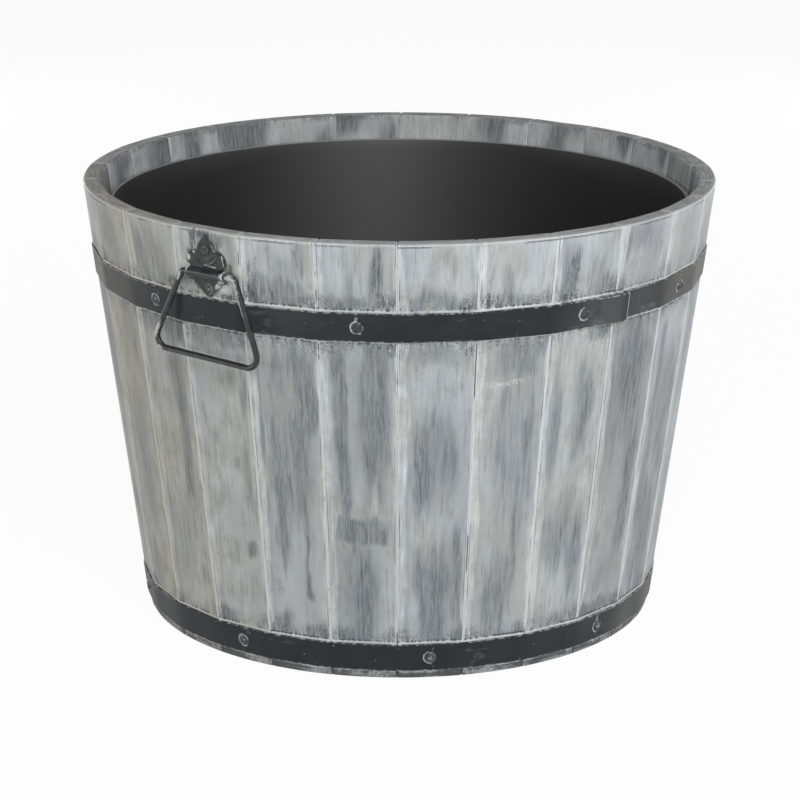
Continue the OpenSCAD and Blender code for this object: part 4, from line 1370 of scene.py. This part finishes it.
def plate_object(side):
    """The whole plate as one object, with each point's place on the plate and distance from an edge."""
    node, matrix = f"{side}_handle_plate", stave_frame(handle_staves[side], handle_z)
    pressings = [
        slab(UPPER_CENTRE, upper_discs, upper_relief, 1),
        slab(LOWER_CENTRE, lower_discs, lower_relief, -1),
        barrel_rings(),
    ]
    piece = stands_for(ring_object(f"stamped_{side}_plate", *(
        (placed(rings, matrix), {"spot": spot(rings[:, :, 0], rings[:, :, 1], side), "edge": from_edge})
        for rings, from_edge in pressings
    )), node)
    piece.data.set_sharp_from_angle(angle=PLATE_SHARP)
    return piece


plates = [plate_object(side) for side in handle_staves]
print("plate faces:", len(plates[0].data.polygons))

# %% [markdown]
# The loop is one wire, bent cold: a round tube along straight runs and round bends. Its path lies in a
# plane, so each ring needs only the path's own sideways direction and the plane's normal.

# %% The wire loops
LOOP_TOP_W = 43 * MM
LOOP_GRIP_W = 90 * MM
LOOP_DROP = 56 * MM
LOOP_SKEW = 3.8 * MM
LOOP_SLIDE = 2 * MM
LOOP_SPLIT = 0.3 * MM
GRIP_SLIDE = -1 * MM
LOOP_CORNERS = np.array([
    (LOOP_SLIDE - LOOP_SPLIT, 0), (LOOP_SLIDE - LOOP_TOP_W / 2, 0),
    (GRIP_SLIDE - LOOP_GRIP_W / 2, LOOP_SKEW / 2 - LOOP_DROP),
    (GRIP_SLIDE + LOOP_GRIP_W / 2, -LOOP_SKEW / 2 - LOOP_DROP),
    (LOOP_SLIDE + LOOP_TOP_W / 2, 0), (LOOP_SLIDE + LOOP_SPLIT, 0),
])
LOOP_BENDS = (0, 4 * MM, 8 * MM, 8 * MM, 4 * MM, 0)
LOOP_STEPS, LOOP_SPACING, AROUND_WIRE = 14, 1.5 * MM, 28


def tube(path, radius, around, normal):
    """Rings of a tube along a path in a plane: place + radius (cos t sideways + sin t normal)."""
    sideways = np.cross(unit(np.gradient(path, axis=0)), normal)
    angle = full_turn(around)[:, None]
    return path[:, None] + radius * (np.cos(angle) * sideways[:, None] + np.sin(angle) * np.array(normal))


def loop_object(side):
    """A loop hanging plumb from its hinge line, with each point's place in the loop's own plane."""
    flat = rounded_path(LOOP_CORNERS, LOOP_BENDS, LOOP_STEPS, spacing=LOOP_SPACING)
    rings = tube(np.column_stack([np.zeros(len(flat)), flat]), WIRE_R, AROUND_WIRE, (1.0, 0.0, 0.0))
    hinge = hinges[side + "_handle"]
    hung = turned(rings + np.array([math.hypot(hinge.x, hinge.y), 0, hinge.z]), handle_staves[side] * pitch)
    piece = ring_object(f"bent_{side}_loop", (hung, {"spot": spot(rings[:, :, 1], rings[:, :, 2], side)}))
    return stands_for(piece, f"{side}_handle_loop", body=side + "_handle")


loops = [loop_object(side) for side in handle_staves]
print("loop faces:", len(loops[0].data.polygons))

# %% Handle screws
# Head's width and height, the shank's width, and how far the screw goes down from the top of the sheet
PLATE_HEAD = (6.6 * MM, 1.6 * MM, 3 * MM, 9.5 * MM + SHEET)
PLATE_SEED = 40
for side, index in handle_staves.items():
    spots = [(stave_frame(index, handle_z), (0, y, SHEET)) for y in (UPPER_SCREW_UP, -LOWER_SCREW_DOWN)]
    screws.append(screw_set(f"{side}_handle_screws", spots, PLATE_HEAD, PLATE_SEED + index))

# %% [markdown]
# The heads of the screws are dark, with a darker band round a paler middle that is a painted glint on the
# crown, and white in the cross and round the rim, where it is partly dried wash and partly painted
# highlight.
# Each point knows how far from the head's middle it is and whether it lies in the cross, so the finish
# follows the head however the screw is turned.

# %% Screw finish


def screw_steel():
    """Dark heads with a painted glint on the crown, and wash in the recess and round the rim that is partly
    painted highlight.
    """
    finish = Finish("hoop_screw_steel", {"Specular IOR Level": 0.5})
    radius, recess, place = finish.number("radius"), finish.number("recess"), finish.place()
    dark, light = paint(34, 37, 39), paint(68, 72, 74)
    grit = place.noise((700, 700, 700), 3.0, 0.6)
    patch = place.noise((170, 170, 170), 2.0, 0.6)
    colour = grit.step(0.35, 0.65).mix(dark, light)
    # A darker band round the middle leaves the crown paler: a painted glint
    colour = (radius.step(0.6, 0.78) * radius.step(0.95, 0.8) * 0.6).mix(colour, dark)
    # The pale ring at the rim and the pale cross: partly dried wash, partly painted highlight
    rim = radius.step(0.84, 0.97) * patch.step(0.48, 0.56)
    wash = most(rim * 0.7, recess * patch.step(0.5, 0.6) * 0.5)
    colour = wash.mix(colour, paint(178, 182, 183))
    return finish.made(colour, 0.36 + grit * 0.15 + wash * 0.2, grit, 0.08 * MM)


coat(screws, screw_steel())

# %% [markdown]
# The liner's plastic is plain, so small things must carry it: a fine moulded grain, a cloudiness from
# handling, a little dust and a pale painted highlight along the top of the rim. They are all noise on the
# place itself.

# %% Liner finish


def liner_plastic():
    """Satin charcoal, faintly grained, with soft cloudy handling marks and a painted highlight along the
    rim.
    """
    finish = Finish("liner_plastic", {"Specular IOR Level": 1.0})
    place = finish.place()
    cloud = place.noise((9, 9, 5), 3.0, 0.5) - 0.5
    grain = place.noise((1400, 1400, 1400), 2.0, 0.5)
    dust = place.noise((160, 160, 60), 4.0, 0.65).step(0.62, 0.8)
    colour = cloud.step(-0.2, 0.2).mix(paint(22, 22, 22), paint(27, 27, 27))
    # A pale band along the top of the rim is a painted highlight
    rim_highlight = place.part("Z").step(liner_rim_z - 1.0 * MM, liner_rim_z - 0.3 * MM)
    colour = (rim_highlight * 0.7).mix(colour, paint(150, 152, 152))
    colour = (dust * 0.06).mix(colour, paint(120, 120, 118))
    return finish.made(colour, 0.56 + cloud * 0.12 + dust * 0.1, grain * 0.5 + cloud * 0.5, 0.06 * MM)


coat([tub_liner], liner_plastic())

# %% [markdown]
# The handles are painted like the hoops, and the wash has caught them too: dabs of it where the barrel meets
# the loop's right shoulder, streaks of it dragged along one lower bend, a thin line of it on the plate's
# right lobe. Thin pale streaks along the loop's legs and thin lines just above the plate's barrel are
# painted highlights. Each is a soft ellipse in the piece's own plane, turned along its stroke and broken by
# noise.

# %% Handle finishes
# Dabs of wash and thin lines of painted highlight on the left handle: middle and half sizes in millimetres,
# and slant in degrees
PLATE_WASH_AND_HIGHLIGHTS = [
    ((14.6, 0.6), (2.6, 3.6), 0), ((13.8, 11.0), (0.5, 6.5), 10), ((6.6, 19.6), (0.5, 4.2), 38),
    ((-14.0, 9.0), (1.3, 3.2), 0), ((-14.4, 4.0), (1.0, 2.6), 0), ((-9.5, 13.5), (1.4, 1.4), 0),
    ((7.6, -8.4), (3.2, 2.0), 30), ((10.6, -5.0), (3.0, 1.6), 10), ((-3.4, -14.4), (1.6, 1.0), 0),
    # The two thin lines just above the barrel are painted highlights
    ((1.5, 5.4), (5.0, 0.4), -8), ((6.2, 4.8), (2.4, 0.5), 0),
]
LOOP_WASH_AND_HIGHLIGHTS = [
    ((20.5, -1.0), (5.6, 3.4), -30), ((25.0, -9.0), (2.6, 9.0), 14), ((28.6, -18.0), (1.2, 7.0), 20),
    ((-42.0, -45.0), (2.2, 12.0), -26), ((-44.0, -52.0), (3.4, 4.0), 0), ((-39.0, -54.2), (4.6, 1.4), 0),
    # The thin streaks along the two legs are painted highlights
    ((-33.0, -34.0), (0.8, 12.0), -26), ((34.0, -36.0), (0.5, 9.0), 20), ((-45.5, -50.0), (2.4, 3.6), 0),
    ((-21.0, -3.0), (1.2, 4.0), -20),
]


def soft_ellipse(x, y, noise, middle, size, slant):
    """1 inside a soft ellipse round a middle, with a ragged edge.

    The place is turned by the slant first: u = x cos a + y sin a and v = y cos a - x sin a, from the middle.
    """
    x, y = x - middle[0] * MM, y - middle[1] * MM
    c, s = math.cos(math.radians(slant)), math.sin(math.radians(slant))
    u = (x * c + y * s) * (1 / (size[0] * MM))
    v = (y * c - x * s) * (1 / (size[1] * MM))
    return (1 - (u * u + v * v) + noise * 4.5).step(0.0, 0.9)


def handle_steel(name, wash_and_highlights, edge_wear):
    """Black satin paint with worn edges and, on the left handle, dabs of whitewash and thin painted
    highlights.
    """
    finish = Finish(name, {"Specular IOR Level": 0.4})
    spot = finish.vector("spot")
    cloud = spot.noise((170, 170, 3), 3.0, 0.6) - 0.5
    grit = spot.noise((900, 900, 3), 3.0, 0.65) - 0.5
    colour = cloud.step(-0.15, 0.15).mix(paint(28, 31, 32), paint(46, 50, 51))
    bright = grit.step(0.13, 0.22) * 0.3
    if edge_wear:
        worn = (finish.number("edge") + grit * 0.0006).step(0.0007, 0.0003) * cloud.step(-0.04, 0.06)
        bright = most(bright, worn * 0.7)
    colour = bright.mix(colour, paint(140, 144, 146))
    x, y, side = (spot.part(axis) for axis in "XYZ")
    ragged, on_left = grit * 0.6 + cloud * 0.6, 1 - side
    # Dabs of wash, and the thin lines of painted highlight from the tables
    wash = most(*(soft_ellipse(x, y, ragged, *place) * on_left for place in wash_and_highlights))
    colour = (wash * 0.85).mix(colour, paint(190, 195, 195))
    height = grit * 0.3 + cloud * 0.3 + wash * 0.5
    return finish.made(colour, 0.38 + cloud * 0.2 + wash * 0.2, height, 0.12 * MM)


coat(plates, handle_steel("handle_plate_steel", PLATE_WASH_AND_HIGHLIGHTS, True))
coat(loops, handle_steel("handle_wire", LOOP_WASH_AND_HIGHLIGHTS, False))

# %% [markdown]
# The base is rough carpentry that nobody sees unless the tub is turned over: five sawn boards, two battens
# and countersunk screws. Their shape in the construction model is right, so a copy of each is cleaned of
# doubled points and gets a small bevel, the way a sawn edge is never knife sharp.

# %% Base boards and battens
DOUBLED_WITHIN = 0.005 * MM
FLAT_WITHIN, BEVEL_FROM = math.radians(1), math.radians(35)
SAWN_EDGE = 0.5 * MM


def bevelled_copy(node):
    """A welded copy of a CAD node, with its flat faces joined and its edges softened."""
    welded = bmesh.new()
    welded.from_mesh(frame["nodes"][node].data)
    bmesh.ops.remove_doubles(welded, verts=welded.verts, dist=DOUBLED_WITHIN)
    bmesh.ops.dissolve_limit(
        welded, angle_limit=FLAT_WITHIN, verts=welded.verts, edges=welded.edges, delimit={"NORMAL"})
    mesh = bpy.data.meshes.new("sawn_" + node)
    welded.to_mesh(mesh)
    welded.free()
    made = shown(mesh.name, mesh)
    bevel = made.modifiers.new("soft_edges", "BEVEL")
    bevel.width, bevel.segments, bevel.angle_limit = SAWN_EDGE, 2, BEVEL_FROM
    return stands_for(made, node)


def sawn_wood(name, stretch, shift):
    """Grey-brown sawn softwood: rings of grain stretched along the board, with fine saw marks across."""
    finish = Finish(name, {"Specular IOR Level": 0.25})
    place = finish.add("ShaderNodeVectorMath", {"operation": "ADD"}, {0: finish.place(), 1: (shift,) * 3})
    grain = place.noise(stretch, 4.0, 0.6)
    fibre = place.noise(tuple(6 * n for n in stretch), 2.0, 0.6)
    dust = place.noise((60, 60, 60), 4.0, 0.6)
    colour = grain.step(0.3, 0.7).mix(paint(146, 134, 116), paint(176, 165, 147))
    colour = (fibre.step(0.55, 0.75) * 0.5).mix(colour, paint(112, 101, 86))
    colour = (dust.step(0.58, 0.72) * 0.5).mix(colour, paint(186, 188, 184))
    return finish.made(colour, 0.7 + (fibre - 0.5) * 0.2, grain * 0.4 + fibre * 0.6, 0.4 * MM)


def base_screw_steel():
    """Dull zinc, with a darker cloud."""
    finish = Finish("base_screw_steel", {"Metallic": 0.9})
    cloud = finish.place().noise((700, 700, 700), 3.0, 0.6)
    colour = cloud.mix(paint(120, 122, 122), paint(168, 170, 168))
    return finish.made(colour, 0.35 + cloud * 0.25, cloud, 0.05 * MM)


# Cells of grain in a metre along each axis, and how far the pattern is shifted
GRAINS = {"batten": ((140, 14, 140), 3.7), "board": ((12, 120, 120), 0.0)}
for kind, (stretch, shift) in GRAINS.items():
    sawn = sorted(node for node in frame["nodes"] if node.startswith("base_" + kind))
    coat([bevelled_copy(node) for node in sawn], sawn_wood(f"sawn_{kind}s", stretch, shift))
base_screws = frame["nodes"]["base_screws"]
base_screws.data.materials.clear()
coat([base_screws], base_screw_steel())

# %% [markdown]
# The stage is a pale floor under soft light. The floor keeps a faint shadow, and a camera ray sees most of
# its whiteness as plain white, so no lamp has to be bright enough to burn the background out. Mirrored rays
# and rays through a clear thing see the same white, the mirrored ones only up to a dim ceiling.

# %% Floor and world
WORLD_LIGHT = 0.12
CEILING_FROM, CEILING_FULL = 0.02, 0.22
FLOOR_REACH = 14.0
FLOOR_WHITENESS = 0.95
WHITE = (1.0, 1.0, 1.0)


def ray_kinds(nodes):
    """Three values that are 1 for a ray from the camera, a mirrored ray and a ray through a clear thing."""
    kinds = ("Camera", "Glossy", "Transmission")
    return (nodes.add("ShaderNodeLightPath", {}, {}, f"Is {kind} Ray") for kind in kinds)


def stage_floor():
    """A flat square of floor."""
    corners = np.array([(-1, -1, 0), (1, -1, 0), (1, 1, 0), (-1, 1, 0)]) * FLOOR_REACH
    made = mesh_object("floor", corners, [np.array([[0, 1, 2, 3]])], {})
    nodes = Nodes(bpy.data.materials.new("floor"))
    nodes.tree.nodes.remove(nodes.tree.nodes["Principled BSDF"])
    camera, mirrored, through = ray_kinds(nodes)
    share = most(camera, most(mirrored, through)) * FLOOR_WHITENESS
    matte = nodes.add("ShaderNodeBsdfDiffuse", {}, {"Color": (0.8, 0.8, 0.8, 1)})
    glow = nodes.add("ShaderNodeEmission", {}, {})
    blend = nodes.add("ShaderNodeMixShader", {}, {0: share, 1: matte, 2: glow})
    nodes.feed(nodes.tree.nodes["Material Output"], {0: blend})
    made.data.materials.append(nodes.owner)


def white_world():
    """Soft light from all round, plain white to the camera and, up to a dim ceiling, in reflections."""
    world = bpy.data.worlds.new("studio")
    bpy.context.scene.world = world
    nodes = Nodes(world)
    camera, mirrored, through = ray_kinds(nodes)
    height = nodes.add("ShaderNodeTexCoord", {}, {}, "Generated").part("Z")
    wall = nodes.add("ShaderNodeMapRange", {}, {
        "Value": height, "From Min": CEILING_FROM, "From Max": CEILING_FULL, "To Min": 1.0, "To Max": 0.0})
    seen = most(camera, most(mirrored * wall, through))
    strength = nodes.add("ShaderNodeMapRange", {}, {"Value": seen, "To Min": WORLD_LIGHT, "To Max": 1.0})
    nodes.feed(nodes.tree.nodes["Background"], {"Color": (*WHITE, 1), "Strength": strength})


stage_floor()
white_world()
print("floor", 2 * FLOOR_REACH, "m wide, world", WORLD_LIGHT)

# %% Lamps
VIEW_ANGLE = math.radians(214.94)
# Angle to the right of the camera, distance from the axis, height, width, watts and colour. The two behind
# stand below the tub's rim, so they light its far side and add little to the side that the camera sees
LAMPS = {
    "key": (10, 2.0, 1.7, 1.1, 49, WHITE),
    "left_fill": (-80, 2.2, 0.2, 0.6, 17, (1.0, 0.955, 0.91)),
    "right_fill": (80, 2.2, 0.2, 0.6, 20.5, (0.985, 0.995, 1.0)),
    "back_left": (-150, 2.2, 0.2, 0.6, 17, WHITE),
    "back_right": (150, 2.2, 0.2, 0.6, 17, WHITE),
}


def round_tub(degrees, distance, height):
    """A place in the room, by its angle to the right of the camera's side of the tub."""
    return Vector(around_axis(distance, VIEW_ANGLE + math.radians(degrees), height))


def aimed(place, forward):
    """A matrix that stands at a place and looks along forward."""
    return Matrix.Translation(place) @ forward.to_track_quat("-Z", "Y").to_matrix().to_4x4()


for name, (degrees, distance, height, width, watts, colour) in LAMPS.items():
    data = bpy.data.lights.new(name, "AREA")
    data.size, data.energy, data.color = width, watts, colour
    place = round_tub(degrees, distance, height)
    shown(name, data).matrix_world = aimed(place, Vector((0, 0, tub_h / 2)) - place)
print(len(LAMPS), "lamps")

# %% Camera
CAMERA_AWAY, CAMERA_UP = 1.998, 0.733
CAMERA_PITCH = math.radians(-16.51)
CAMERA_ROLL = math.radians(0.11)
LENS_MM, SENSOR_MM, SHIFT_X = 131.4, 36, 0.0011
camera_data = bpy.data.cameras.new("camera")
camera_data.lens, camera_data.sensor_width, camera_data.shift_x = LENS_MM, SENSOR_MM, SHIFT_X
camera = shown("camera", camera_data)
forward = Vector(around_axis(-math.cos(CAMERA_PITCH), VIEW_ANGLE, math.sin(CAMERA_PITCH)))
camera.matrix_world = (
    aimed(round_tub(0, CAMERA_AWAY, CAMERA_UP), forward) @ Matrix.Rotation(CAMERA_ROLL, 4, "Z"))
bpy.context.scene.camera = camera
bpy.context.scene.view_settings.view_transform = "Standard"
print("camera at", [round(c, 4) for c in camera.location])
